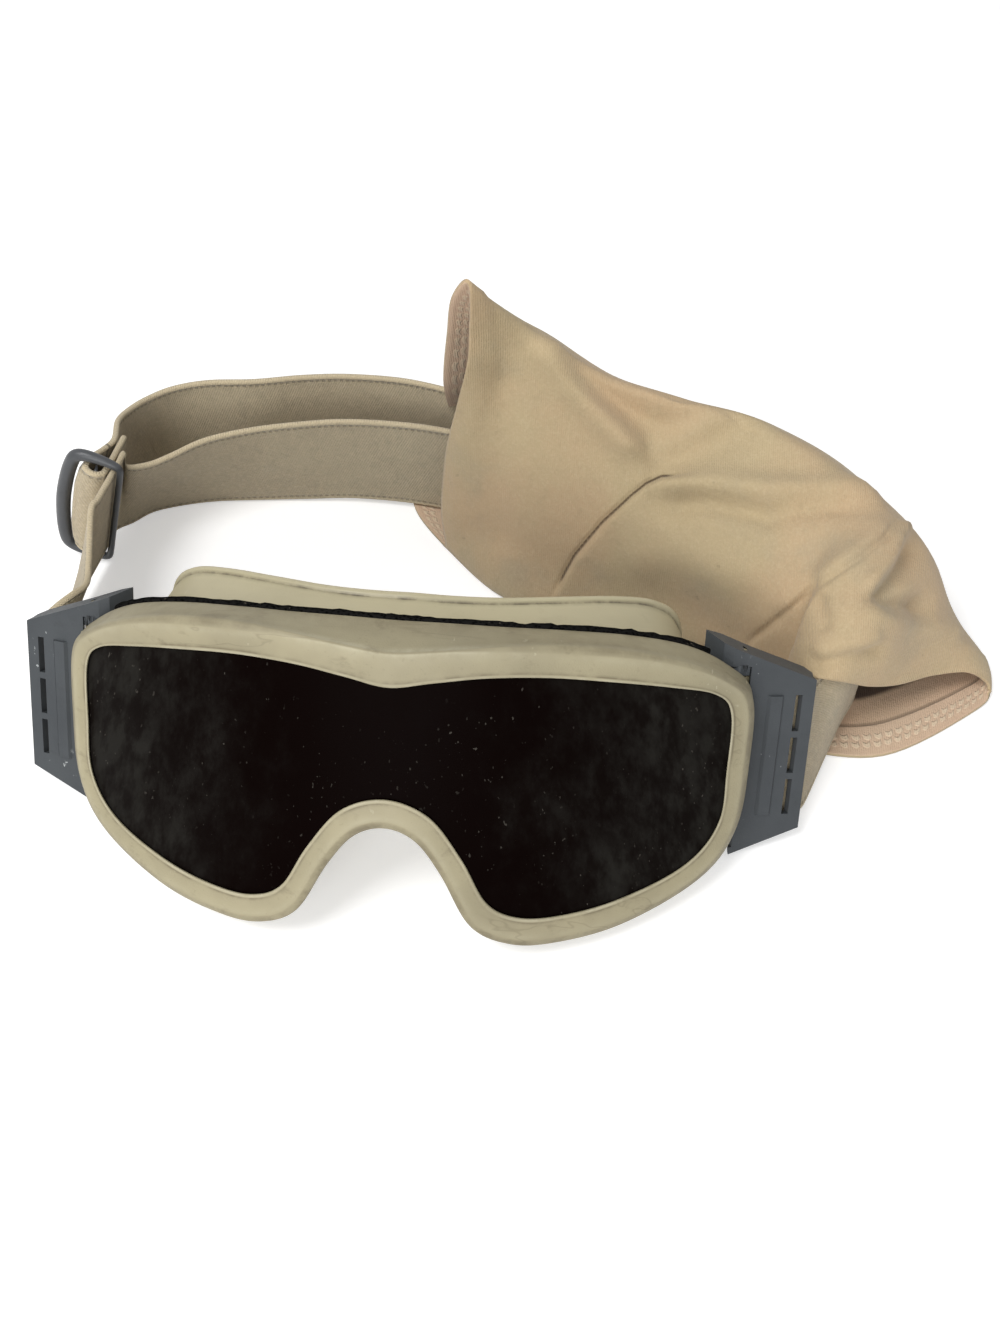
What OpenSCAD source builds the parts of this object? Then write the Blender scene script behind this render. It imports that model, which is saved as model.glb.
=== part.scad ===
// Tactical goggles lying on a table, with their elastic strap and lens sleeve.
// X runs to the right as seen from the front, Y to the rear and Z up; the table is Z = 0.
// The front is drawn upright round the lens centre and then leaned back onto its lobes.

/* [Frame] */
// Width across the bezel
bezel_w = 172; // [160:1:184]
// Height of the bezel from its lobes to the brow
bezel_h = 77; // [70:1:84]
// Radius that the lens and bezel wrap round
wrap_r = 136; // [125:1:160]
// Angle that the front leans back on the table
lean = 33; // [25:1:38]
// Depth of the bezel at the brow
brow_depth = 9; // [7:0.5:11]
// Depth of the bezel beside the clips
side_depth = 3.4; // [3.2:0.1:4]
// How far the bezel face stands proud of the lens
bezel_crown = 2; // [1:0.25:3]

/* [Lens] */
// Thickness of the lens
lens_t = 2.4; // [2:0.2:3]
// How far the lens edge reaches into its channel
lens_grip = 2; // [1.5:0.25:2.75]
// Clearance of the lens in its channel
lens_gap = 0.1; // [0.05:0.05:0.2]

/* [Face seal] */
// Depth from the lens to the rim of the face flange
rim_depth = 36; // [32:1:40]
// Radius of the face that the rim follows
face_r = 115; // [105:1:140]
// Wall of the face flange
flange_wall = 2; // [1.5:0.25:2.5]
// Width of the land that carries the face foam
land_w = 9; // [7:0.5:11]
// Thickness of the face foam
face_foam_t = 4.5; // [3:0.5:6]
// Depth of the vent foam strips
vent_foam_d = 3; // [2:0.5:4]

/* [Clips] */
// Distance of the hinge from the bezel's outer edge
hinge_inset = 4.5; // [4:0.25:5]
// Distance of the hinge behind the lens surface
hinge_back = 11.6; // [11.5:0.1:12.5]
// Radius of the hinge trunnions
trunnion_r = 2; // [1.5:0.1:2.4]
// Radial clearance of the trunnions in their ears
hinge_gap = 0.05; // [0.03:0.01:0.08]
// Thickness of the clip plate
plate_t = 2.4; // [2:0.2:2.8]
// Length of the clip plate outside the bezel
plate_l = 17.7; // [17:0.1:18.4]
// Length of each window in the plate
window_l = 9.6; // [7:0.2:10.4]
// Width of each window in the plate
window_w = 1.8; // [1.2:0.2:2.4]
// Spacing of the windows
window_pitch = 11.3; // [11:0.1:12]
// Radius of the strap bar
bar_r = 1.6; // [1.3:0.1:1.7]

/* [Strap] */
// Width of the elastic strap
strap_w = 35.5; // [30:0.5:35.5]
// Thickness of the elastic strap
strap_t = 1.8; // [1.4:0.1:2]
// Clearance round the strap where hard pieces guide it
strap_gap = 0.3; // [0.2:0.05:0.4]

/* [Slider] */
// Radius of the middle bar of the slider, inside the sewn fold
slider_bar_r = 1.5; // [1.2:0.1:1.8]
// Radius of the slim keeper bar of the slider
keeper_r = 1; // [0.8:0.1:1.2]
// Radius of the thick outer bow of the slider
bow_r = 2.1; // [1.7:0.1:2.4]
// Thickness of the slider end rails
rail_t = 2; // [1.6:0.2:2.6]

/* [Sleeve] */
// Thickness of the sleeve cloth
cloth_t = 1.2; // [0.8:0.1:1.4]

/* [Hidden] */
$fn = 48;
tan_c = "#b9ad8a";
seal_c = "#cfc49f";
grey_c = "#474b50";
dark_c = "#33363a";
foam_c = "#191919";
lens_c = "#241f1c";
web_c = "#9d937a";
cloth_c = "#bda481";

// The outline table was drawn at this width and height
drawn_w = 172;
drawn_h = 77;
steps = 4;
back_lip = 0.3;
foam_proud = 0.6;
foam_inset = 2.6;
hair = 0.1;
glue = 0.4;

// Middle of the whole outline on the table, measured from the lens centre
mid_x = 19.6;
mid_y = 71.5;

// Half of the front outline, from the brow centre down to the nose centre.
// Each row: lens opening, front crease, rear edge, seal valley, seal rim, [depth share, neck offset].
// The first pairs are X and Z; a depth share of 1 is the brow depth and 0 the side depth.
half = [
    [[0, 19.2], [0, 27.8], [0, 32.6], [0, 25.5], [0, 32.6], [1, 4.6]],
    [[10, 20.9], [11, 28.8], [12, 32.6], [10, 26], [10, 32.4], [1, 4.6]],
    [[22, 22.6], [25, 30.3], [26, 32.1], [21, 26.6], [22, 32.4], [1, 4.2]],
    [[36, 22.9], [38, 30.8], [38, 31.6], [34, 27], [35, 32.8], [0.95, 4]],
    [[50, 21.6], [53, 29.4], [53.5, 30.2], [48, 26.5], [49, 32.7], [0.8, 3.6]],
    [[64, 19.4], [66.5, 25.8], [67.5, 27.2], [61, 23.8], [60, 31], [0.5, 3]],
    [[75.2, 16.4], [77.5, 20.8], [78.2, 21.6], [69, 18], [66.8, 26], [0.2, 1.2]],
    [[79.6, 10.6], [85, 13.6], [85.2, 13.9], [72, 11], [68.7, 16], [0, -1]],
    [[80, -4], [86, -3.6], [86, -3.6], [72.5, -2], [69, 0], [0, -1.4]],
    [[79.4, -17.6], [84.6, -20], [84.7, -20.2], [71.2, -14], [66.6, -12.5], [0, -0.8]],
    [[72, -27.2], [77, -31.4], [77.2, -31.7], [64.5, -23], [61, -18.5], [0.3, 1.6]],
    [[56, -34], [58, -40.8], [58, -41.2], [51, -28.5], [48, -23.5], [0.7, 2.4]],
    [[42, -37], [41, -44.4], [41, -44.4], [39, -31], [37, -25.5], [0.85, 2.4]],
    [[32, -37], [30, -44.1], [30, -44.1], [30, -30.5], [28, -25.5], [0.85, 2.4]],
    [[24.6, -33], [20.8, -39.2], [20.8, -39.2], [22.5, -26.5], [21, -21.5], [0.8, 2.4]],
    [[18.4, -22], [13.5, -26.2], [13.5, -26.2], [16.5, -17.5], [14.5, -13.5], [0.7, 2.4]],
    [[10.4, -11.6], [7.2, -18], [7.2, -18], [9, -9.5], [8, -7.2], [0.7, 2.4]],
    [[0, -7.9], [0, -15.3], [0, -15.3], [0, -6.8], [0, -5], [0.7, 2.4]]
];

// Small vector helpers
function unit(v) = v / norm(v);
function mix(a, b, t) = a + (b - a) * t;
function bend(a, b, c, d, t) =
    0.5 * (2 * b + (c - a) * t + (2 * a - 5 * b + 4 * c - d) * t * t + (3 * b - a - 3 * c + d) * t * t * t);
function smooth_loop(p, n) = let(m = len(p))
    [for (i = [0:m - 1]) for (j = [0:n - 1]) bend(p[(i + m - 1) % m], p[i], p[(i + 1) % m], p[(i + 2) % m], j / n)];
function smooth_line(p, n) = let(m = len(p) - 1)
    [for (i = [0:m - 1]) for (j = [0:n - (i == m - 1 ? 0 : 1)])
        bend(p[max(i - 1, 0)], p[i], p[i + 1], p[min(i + 2, m)], j / n)];

// Depth of a cylinder of radius r at a distance x from its crest
function sag(x, r) = r - sqrt(r * r - x * x);

// The outline table at the chosen width and height
function fit(p) = [p.x * bezel_w / drawn_w, p.y * bezel_h / drawn_h];
function fit_row(r) = [for (k = [0:5]) k < 5 ? fit(r[k]) : [mix(side_depth, brow_depth, r[5].x), r[5].y]];
function flip_row(r) = [for (k = [0:5]) k < 5 ? [-r[k].x, r[k].y] : r[5]];
rows_right = [for (r = half) fit_row(r)];
rows_left = [for (i = [len(half) - 2:-1:1]) flip_row(rows_right[i])];
stations = smooth_loop(concat(rows_right, rows_left), steps);

// One point of the wrapped front, at a depth behind the lens surface
function wrap_y(x, depth) = wrap_r - sqrt((wrap_r - depth) * (wrap_r - depth) - x * x);
function wrap(p, depth) = [p.x, wrap_y(p.x, depth), p.y];
function out_dir(r) = unit(r[1] - r[0]);
function rim_y(p) = rim_depth + sag(p.x, face_r);
function seal_y(p, r, t) = mix(wrap_y(p.x, r[5].x + vent_foam_d), rim_y(p), t);

// Where the hinge, strap bar and strap lie on the right of the upright front
edge_x = max([for (r = rows_right) r[2].x]);
hinge_x = edge_x - hinge_inset;
hinge_y = sag(hinge_x, wrap_r) + hinge_back;
plate_turn = 16;
plate_start = [3.1, -3.4];
plate_dir = [cos(plate_turn), sin(plate_turn)];
plate_back = [-sin(plate_turn), cos(plate_turn)];
plate_end = plate_start + plate_dir * plate_l;
ear_in = -8.5;
ear_top = 27.4;
ear_slope = 0.383;
plate_h = 40;
top_out = ear_top - ear_slope * (plate_end.x - ear_in);
bottom_in = -30.6;
bottom_out = top_out - plate_h;
foot_slope = 0.38;
foot_x = plate_start.x - 0.7;
ear_lift = 4;
ear_t = 2.4;
strap_z = (top_out + bottom_out) / 2;
clip_wall = 1.9;
loop_r = bar_r + strap_gap;
bar_at = plate_start + plate_dir * (plate_l - 1) + plate_back * (plate_t + strap_gap + strap_t + loop_r);
leg_l = 3.4;
clip_clear = 0.4;
foot_wall = 0.6;

// Height of the front when it leans on its lowest points
function drop(p) = p.z * cos(lean) - p.y * sin(lean);
lobe_low = min([for (r = stations) drop(wrap(r[2], r[5].x))]);
rim_low = min([for (r = stations) drop([r[4].x, rim_y(r[4]), r[4].y])]);
foam_low = min([for (r = stations) drop(foam_ring(r)[1])]);
front_h = -min([lobe_low, rim_low, foam_low]);

// A point of the upright front, leaned back into place
function leaned(p) = [
    p.x,
    p.y * cos(lean) + p.z * sin(lean),
    front_h + p.z * cos(lean) - p.y * sin(lean)
];
module leaned() {
    on_table() translate([0, 0, front_h]) rotate([-lean, 0, 0]) children();
}
module on_table() {
    translate([-mid_x, -mid_y, 0]) children();
}

// A closed tube through equal rings, or a solid with flat ends
module skin(rings, closed) {
    n = len(rings);
    m = len(rings[0]);
    last = closed ? n - 1 : n - 2;
    sides = [for (i = [0:last]) for (j = [0:m - 1]) for (k = [0, 1])
        let(a = i * m + j, b = i * m + (j + 1) % m, c = ((i + 1) % n) * m + j, d = ((i + 1) % n) * m + (j + 1) % m)
        k == 0 ? [a, c, b] : [b, c, d]];
    ends = closed ? [] : [[for (j = [0:m - 1]) j], [for (j = [m - 1:-1:0]) (n - 1) * m + j]];
    polyhedron(points = [for (r = rings) for (p = r) p], faces = concat(sides, ends), convexity = 8);
}

// Front frame: the bezel with its lens channel, and the hinge posts
function bezel_ring(r) = let(i = r[0], c = r[1], u = out_dir(r), seat = lens_grip + lens_gap, d = r[5].x) [
    wrap(i, -lens_gap),
    wrap(i + u * seat, -lens_gap),
    wrap(i + u * seat, lens_t + lens_gap),
    wrap(i + u * back_lip, lens_t + lens_gap),
    wrap(i + u * back_lip, d),
    wrap(r[2], d),
    wrap(mix(r[2], c, 0.8), mix(d, 1.2, 0.8)),
    wrap(mix(c, i, 0.02), 0.2),
    wrap(mix(c, i, 0.16), -bezel_crown * 0.7),
    wrap(mix(c, i, 0.36), -bezel_crown),
    wrap(mix(c, i, 0.72), -bezel_crown),
    wrap(i, -bezel_crown * 0.45)
];
post_r = 3.6;
post_top = 17.4;
post_low = -19.8;
post_in = 1.9;
knuckle_gap = 0.4;
trunnion_l = 6;
bore_l = trunnion_l + knuckle_gap;
module hinge_post() {
    translate([hinge_x, hinge_y, post_low]) cylinder(r = post_r, h = post_top - post_low);
    translate([hinge_x - post_in, hinge_y - hinge_back + side_depth + hair, post_low])
        cube([post_in * 2, hinge_back - side_depth - hair, post_top - post_low]);
    translate([hinge_x, hinge_y, post_low - trunnion_l])
        cylinder(r = trunnion_r, h = post_top - post_low + trunnion_l * 2);
}
module front_frame() {
    color(tan_c) leaned() {
        skin([for (r = stations) bezel_ring(r)], true);
        hinge_post();
        mirror([1, 0, 0]) hinge_post();
    }
}

// Lens: one wrapped sheet, cut to the channel
module lens() {
    edge = [for (r = stations) r[0] + out_dir(r) * lens_grip];
    reach = sag(bezel_w / 2, wrap_r) + lens_t + 2;
    color(lens_c) leaned() intersection() {
        translate([0, reach, 0]) rotate([90, 0, 0]) linear_extrude(reach + 2) polygon(edge);
        translate([0, wrap_r, -bezel_h]) difference() {
            cylinder(r = wrap_r, h = bezel_h * 2, $fn = 180);
            cylinder(r = wrap_r - lens_t, h = bezel_h * 4, center = true, $fn = 180);
        }
    }
}

// Face flange: the soft skirt behind the bezel, with its rolled rim and foam land
function flange_ring(r) = let(i = r[0], v = r[3], m = r[4], u = out_dir(r), n = i + u * r[5].y, w = flange_wall,
    f = mix(v, m, 0.6), d = r[5].x + hair) [
    wrap(n - u * w, d),
    wrap(n - u * w, d + vent_foam_d),
    [(v - u * w).x, seal_y(v, r, 0.45), (v - u * w).y],
    [(f - u * w).x, seal_y(f, r, 0.74), (f - u * w).y],
    [(m - u * land_w).x, rim_y(m) - w, (m - u * land_w).y],
    [(m - u * land_w).x, rim_y(m), (m - u * land_w).y],
    [(m - u * 0.9).x, rim_y(m), (m - u * 0.9).y],
    [m.x, rim_y(m) - 1.1, m.y],
    [(m - u * 0.7).x, rim_y(m) - 2.6, (m - u * 0.7).y],
    [f.x, seal_y(f, r, 0.78), f.y],
    [v.x, seal_y(v, r, 0.45), v.y],
    wrap(n, d + vent_foam_d + hair * 2),
    wrap(n, d)
];
module face_flange() {
    color(seal_c) leaned() skin([for (r = stations) flange_ring(r)], true);
}

// Face foam: the pad glued to the land
function foam_ring(r) = let(m = r[4], u = out_dir(r), y = rim_y(m) + glue, t = face_foam_t,
    a = m - u * 2.6, b = m - u * (land_w + 1), c = m - u * (land_w - 1)) [
    [a.x, y, a.y],
    [(a - u * 0.3).x, y + t * 0.7, (a - u * 0.3).y],
    [(a - u * 1.6).x, y + t, (a - u * 1.6).y],
    [c.x, y + t, c.y],
    [b.x, y + t * 0.6, b.y],
    [b.x, y, b.y]
];
module face_foam() {
    color(foam_c) leaned() skin([for (r = stations) [for (k = [5:-1:0]) foam_ring(r)[k]]], true);
}

// Vent foams: open-cell strips in the gap between the bezel and the flange
function vent_ring(r, proud) = let(u = out_dir(r), n = r[0] + u * (r[5].y + hair), b = r[2] + u * proud,
    d = r[5].x + hair) [
    wrap(n, d),
    wrap(n, d + vent_foam_d),
    wrap(b, d + vent_foam_d),
    wrap(b, d)
];
module vent_foam(from, to, proud) {
    m = len(stations);
    color(foam_c) leaned() skin([for (i = [from:to]) vent_ring(stations[(i + m) % m], proud)], false);
}
module vent_foam_top() { vent_foam(-6 * steps + 2, 6 * steps - 2, foam_proud); }
module vent_foam_right() { vent_foam(10 * steps + 2, 13 * steps + 2, -foam_inset); }
module vent_foam_left() { vent_foam(21 * steps - 2, 24 * steps - 2, -foam_inset); }

// Clip: a plate with two ears that swing on the frame's trunnions, and the strap bar
function top_edge(x) = ear_top - ear_slope * (x - ear_in);
function foot_edge(x) = bottom_out + (x - plate_end.x) * foot_slope;
module clip_outline() {
    left = ear_in - 1;
    right = plate_end.x + 3;
    polygon([
        [left, top_edge(left)], [right, top_edge(right)], [right, foot_edge(right)],
        [foot_x, bottom_in], [foot_x, bottom_in + ear_lift], [left, bottom_in + ear_lift]
    ]);
}
module above_table(h) {
    translate([-hinge_x, -hinge_y, 0]) rotate([lean, 0, 0]) translate([-10, -80, h - front_h]) cube(240);
}
module across(y0, y1) {
    translate([0, y1, 0]) rotate([90, 0, 0]) linear_extrude(y1 - y0) children();
}
module clip_shape() {
    ear_z = 20;
    ear_low = bottom_in + ear_lift + ear_t;
    knob_r = post_r + 0.6;
    hollow_r = post_r + knuckle_gap;
    behind = plate_start + plate_back * plate_t;
    difference() {
        union() {
            difference() {
                intersection() {
                    above_table(clip_clear);
                    translate([0, 0, -45]) linear_extrude(90) polygon([
                        plate_start, plate_end, plate_end + plate_back * plate_t,
                        bar_at + [bar_r + 0.8, 0], bar_at + [0.4, bar_r + 0.9], bar_at + [-3, bar_r],
                        [4, 5.6], [-4.5, 4.6], [ear_in, 1.6], [ear_in, 1], [-4.2, -3.8], [-1.6, -4.5]
                    ]);
                    across(-10, 20) clip_outline();
                }
                intersection() {
                    above_table(clip_clear + foot_wall);
                    translate([0, 0, -45]) linear_extrude(90) polygon([
                        [-30, -13], plate_start - plate_back * 10, plate_start, behind,
                        behind + plate_dir * 40, [10, 60], [-30, 60]
                    ]);
                    across(-20, 40) polygon([
                        [-30, ear_z], [plate_start.x, ear_z],
                        [plate_start.x, top_edge(plate_start.x) - clip_wall],
                        [30, top_edge(30) - clip_wall], [30, foot_edge(30) + clip_wall],
                        [foot_x, bottom_in + clip_wall], [foot_x, ear_low], [-30, ear_low]
                    ]);
                }
            }
            translate([0, 0, post_top + knuckle_gap]) cylinder(r = knob_r, h = ear_z - post_top);
            translate([0, 0, ear_low - 0.5]) cylinder(r = knob_r, h = post_low - knuckle_gap - ear_low + 0.5);
            translate([bar_at.x, bar_at.y, bottom_out]) cylinder(r = bar_r, h = top_out - bottom_out - 0.6);
            plate_rib();
        }
        translate([0, 0, post_low - knuckle_gap])
            cylinder(r = hollow_r, h = post_top - post_low + knuckle_gap * 2);
        translate([0, 0, post_low - bore_l]) cylinder(r = trunnion_r + hinge_gap, h = post_top - post_low + bore_l * 2);
        for (k = [-1:1]) on_plate(plate_l - 4.2, strap_z + k * window_pitch)
            cube([window_w, 20, window_l], center = true);
    }
}
module on_plate(along, z) {
    at = plate_start + plate_dir * along;
    translate([at.x, at.y, z]) rotate([0, 0, plate_turn]) children();
}
module plate_rib() {
    rib_w = 4.4;
    rib_l = 32;
    rib_t = 0.7;
    on_plate(plate_l - 10.4, strap_z - rib_l / 2) linear_extrude(rib_l) polygon([
        [-rib_w / 2, 0.5], [-rib_w / 2, 0], [-rib_w / 2 + rib_t, -rib_t],
        [rib_w / 2 - rib_t, -rib_t], [rib_w / 2, 0], [rib_w / 2, 0.5]
    ]);
}
module right_clip() {
    color(grey_c) leaned() translate([hinge_x, hinge_y, 0]) clip_shape();
}
module left_clip() {
    color(grey_c) leaned() mirror([1, 0, 0]) translate([hinge_x, hinge_y, 0]) clip_shape();
}

// Strap loop: the webbing folded round the clip's bar
module loop_shape() {
    translate([bar_at.x, bar_at.y, strap_z - strap_w / 2]) linear_extrude(strap_w) {
        difference() {
            circle(r = loop_r + strap_t);
            circle(r = loop_r);
            translate([-20, 0]) square([40, 20]);
        }
        translate([loop_r, 0]) square([strap_t, leg_l]);
        polygon([
            [-loop_r - strap_t, 0], [-loop_r, 0],
            [loop_r - strap_t * 0.9, leg_l], [loop_r - strap_t * 2, leg_l]
        ]);
    }
}
module right_strap_loop() {
    color(web_c) leaned() translate([hinge_x, hinge_y, 0]) loop_shape();
}
module left_strap_loop() {
    color(web_c) leaned() mirror([1, 0, 0]) translate([hinge_x, hinge_y, 0]) loop_shape();
}

// Ribbon: webbing swept along rows of [lower edge point, direction across the width]
function ribbon_ring(rows, k) = let(
    n = len(rows) - 1,
    wd = unit(rows[k][1]),
    go = rows[min(k + 1, n)][0] + unit(rows[min(k + 1, n)][1]) * strap_w / 2
        - rows[max(k - 1, 0)][0] - unit(rows[max(k - 1, 0)][1]) * strap_w / 2,
    nd = unit(cross(go, wd)) * strap_t / 2,
    low = rows[k][0],
    top = rows[k][0] + wd * strap_w) [low - nd, low + nd, top + nd, top - nd];
module ribbon(rows, n) {
    fine = smooth_line(rows, n);
    color(web_c) on_table() skin([for (k = [0:len(fine) - 1]) [for (j = [3:-1:0]) ribbon_ring(fine, k)[j]]], false);
}

// A row of the strap at a clip, just outside the clip's swing
function clip_row(side, out, back, wd) = let(
    mid = leaned([side * (hinge_x + bar_at.x + out), hinge_y + bar_at.y + back, strap_z])
) [mid - unit(wd) * strap_w / 2, wd];

// Slider place: its centre, the way the strap runs through it, and the way its bars stand
slide_at = [-101.4, 101.3, 21.6];
slide_go = unit([0.09, 0.996, 0]);
slide_up = unit([0.24, -0.0217, 0.97]);
slide_in = cross(slide_go, slide_up);
function at_slider(t, n) = slide_at + slide_go * t + slide_in * n - slide_up * strap_w / 2;
keeper_n = strap_t / 2 + strap_gap + keeper_r;
spine_n = -(strap_t / 2 + strap_gap * 2 + strap_t + slider_bar_r);
sewn_l = 9;
sewn_r = slider_bar_r + strap_gap + strap_t;

// Outer bow of the slider, an arc that clears the sewn fold
bow_rise = 2.8;
bow_end_n = spine_n - sewn_r - strap_gap - bow_r;

// Points further out move with the width of the bezel
spread = edge_x - drawn_w / 2;
function moved(x, y, z) = [x + spread * max(-1, min(1, x / 80)), y, z];

tail_rows = [
    clip_row(-1, 5, 7.4, [0.04, 0.63, 0.77]),
    [moved(-106.8, 45, 1), [0.2, 0.44, 0.87]],
    [moved(-109, 57, 1.8), [0.36, 0.2, 0.91]],
    [moved(-110.5, 70, 3), [0.47, -0.05, 0.88]],
    [at_slider(-16, 0), slide_up],
    [at_slider(-11, 0), slide_up],
    [at_slider(-5, 0), slide_up],
    [at_slider(0, 0), slide_up]
];
front_rows = [
    [at_slider(0.1, 0), slide_up],
    [at_slider(4.5, 0), slide_up],
    [at_slider(9, 0), slide_up],
    [moved(-103, 117.5, 2.2), [0.24, -0.28, 0.93]],
    [moved(-98.5, 124.5, 0.9), [0.26, -0.36, 0.9]],
    [moved(-90, 129, 0.4), [0.18, -0.36, 0.92]],
    [moved(-79, 132, 0.4), [0.1, -0.28, 0.955]],
    [moved(-65, 134, 0.4), [0.04, -0.2, 0.98]],
    [moved(-50, 135.5, 0.8), [0, -0.15, 0.99]],
    [moved(-34, 136.5, 1.6), [0, -0.12, 0.99]],
    [moved(-14, 135.5, 1.9), [0, -0.1, 1]],
    [moved(4, 132, 1.9), [0, -0.08, 1]],
    [moved(28, 125, 1.9), [0, -0.05, 1]],
    [moved(54, 114.5, 1.9), [0, 0, 1]],
    [moved(78, 102, 1.9), [0, 0, 1]],
    [moved(98, 90, 2), [0, 0, 1]],
    [moved(110.5, 79, 2.2), [0, 0, 1]],
    [moved(114, 68.5, 2.4), [0, 0, 1]],
    [moved(109, 57, 2), [0.04, 0.2, 0.98]],
    [moved(105.2, 46, 1.2), [0.07, 0.5, 0.86]],
    clip_row(1, 4.2, 12, [0.11, 0.78, 0.61])
];
rear_rows = [
    [at_slider(sewn_l + 0.8, spine_n + slider_bar_r), slide_up],
    [at_slider(sewn_l + 4, spine_n + slider_bar_r), slide_up],
    [moved(-108.5, 124, 3.2), [0.2, 0.02, 0.98]],
    [moved(-107.5, 134, 1.8), [0.2, -0.06, 0.97]],
    [moved(-102.5, 142, 0.8), [0.16, -0.1, 0.98]],
    [moved(-93, 147, 0.4), [0.08, -0.08, 1]],
    [moved(-80, 149.5, 0.3), [0, -0.04, 1]],
    [moved(-66, 151, 0.3), [0, -0.03, 1]],
    [moved(-51, 154, 0.5), [0, -0.02, 1]],
    [moved(-36, 155, 1.2), [0, -0.02, 1]],
    [moved(-18, 153.5, 1.9), [0, -0.02, 1]],
    [moved(0, 149, 1.9), [0, -0.02, 1]],
    [moved(24, 141, 1.9), [0, 0, 1]],
    [moved(50, 131, 1.9), [0, 0, 1]],
    [moved(76, 118, 1.9), [0, 0, 1]],
    [moved(98, 103.5, 1.9), [0, 0, 1]],
    [moved(111.5, 93, 2), [0, 0, 1]],
    [moved(119, 81, 2.2), [0, 0, 1]],
    [moved(119.5, 69, 2.4), [0, 0, 1]],
    [moved(114.2, 57, 2), [0.06, 0.18, 0.98]],
    [moved(109.4, 45, 1.4), [0.11, 0.45, 0.88]],
    clip_row(1, 5.2, 6.2, [0.03, 0.66, 0.75])
];
module strap_tail() { ribbon(tail_rows, 3); }
module strap_front_run() { ribbon(front_rows, 3); }
module strap_rear_run() { ribbon(rear_rows, 3); }

// Everything on the slider is drawn upright along X and turned into place
module slider_frame() {
    on_table() multmatrix([
        [slide_go.x, slide_in.x, slide_up.x, slide_at.x],
        [slide_go.y, slide_in.y, slide_up.y, slide_at.y],
        [slide_go.z, slide_in.z, slide_up.z, slide_at.z],
        [0, 0, 0, 1]
    ]) children();
}
module slider() {
    rail_z = strap_w / 2 + strap_gap * 4;
    half_l = rail_z + rail_t / 2;
    rail_half = slider_bar_r * 1.3;
    arc_r = (half_l * half_l + bow_rise * bow_rise) / (bow_rise * 2);
    half_turn = asin(half_l / arc_r);
    color(dark_c) slider_frame() {
        translate([0, keeper_n, -half_l]) cylinder(r = keeper_r, h = half_l * 2);
        translate([0, spine_n, -half_l]) cylinder(r = slider_bar_r, h = half_l * 2);
        for (s = [-1, 1]) translate([0, 0, s * rail_z + (s - 1) * rail_t / 2]) linear_extrude(rail_t) polygon([
            [-keeper_r, keeper_n + keeper_r], [-rail_half, keeper_n - keeper_r], [-rail_half, spine_n - slider_bar_r],
            [-bow_r, bow_end_n], [bow_r, bow_end_n],
            [rail_half, spine_n - slider_bar_r], [rail_half, keeper_n - keeper_r], [keeper_r, keeper_n + keeper_r]
        ]);
        translate([0, bow_end_n - bow_rise + arc_r, 0]) rotate([0, 90, 0]) rotate([0, 0, -90 - half_turn])
            rotate_extrude(angle = half_turn * 2) translate([arc_r, 0]) circle(r = bow_r);
    }
}
module strap_sewn_end() {
    inner = slider_bar_r + strap_gap;
    color(web_c) slider_frame() translate([0, spine_n, -strap_w / 2]) linear_extrude(strap_w) {
        difference() {
            circle(r = inner + strap_t);
            circle(r = inner);
            translate([0, -20]) square([20, 40]);
        }
        translate([0, inner]) square([sewn_l, strap_t]);
        polygon([[0, -inner], [0, -inner - strap_t], [sewn_l, inner - strap_t * 1.02], [sewn_l, inner - 0.02]]);
    }
}

// Sleeve: a cloth tube that stands up like a tent, each ring going up the front and down the rear
sleeve_rings = [
    [[-3, 118, 0], [-3, 121, 17], [-2, 123, 38], [1, 120, 60], [4, 115, 84], [8, 112, 106],
        [14, 119, 90], [15, 134, 66], [12, 150, 44], [7, 160, 20], [-2, 163, 0], [-16, 139, 0]],
    [[18, 98, 0], [19, 103, 20], [18, 109, 42], [18, 115, 60], [19, 119, 73], [21, 122, 80],
        [25, 130, 74], [27, 143, 57], [26, 154, 37], [22, 161, 17], [17, 163, 0], [12, 133, 0]],
    [[45, 93, 0], [45, 95, 17], [43, 102, 36], [43, 111, 50], [42, 117, 60], [43, 122, 66],
        [47, 129, 61], [50, 138, 50], [51, 147, 33], [49, 152, 15], [47, 153, 0], [42, 124, 0]],
    [[70, 84, 0], [69, 87, 16], [66, 93, 33], [65, 104, 44], [64, 114, 54], [64, 121, 60],
        [68, 127, 56], [73, 134, 46], [76, 139, 30], [77, 142, 13], [76, 142, 0], [70, 113, 0]],
    [[89, 69, 0], [89, 73, 16], [87, 82, 34], [85, 97, 45], [84, 110, 52], [85, 118, 57],
        [91, 123, 53], [98, 128, 43], [103, 130, 28], [105, 131, 12], [104, 131, 0], [93, 100, 0]],
    [[101, 60, 0], [102, 65, 15], [102, 75, 33], [103, 88, 43], [103, 99, 49], [105, 107, 53],
        [112, 111, 49], [119, 114, 40], [124, 116, 26], [126, 117, 11], [125, 117, 0], [109, 88, 0]],
    [[101, 60, 0], [102, 65, 16], [104, 71, 34], [109, 77, 46], [118, 82, 49], [127, 86, 47],
        [134, 90, 40], [139, 94, 31], [142, 98, 20], [144, 99, 8], [142, 98, 0], [120, 76, 0]],
    [[97, 59, 0], [97, 59, 15], [98, 60, 29], [103, 58, 40], [113, 53, 41], [124, 54, 33],
        [132, 61, 21], [138, 69, 11], [146, 76, 6], [154, 79, 5], [157, 76, 0], [128, 54, 0]]
];
function from_middle(ring, t) = let(c = [for (k = [0:2]) sum_of(ring, k) / len(ring)])
    [for (p = ring) let(v = p - c) c + v * (1 - t / norm(v))];
function sum_of(ring, k, i = 0) = i == len(ring) ? 0 : ring[i][k] + sum_of(ring, k, i + 1);
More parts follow.
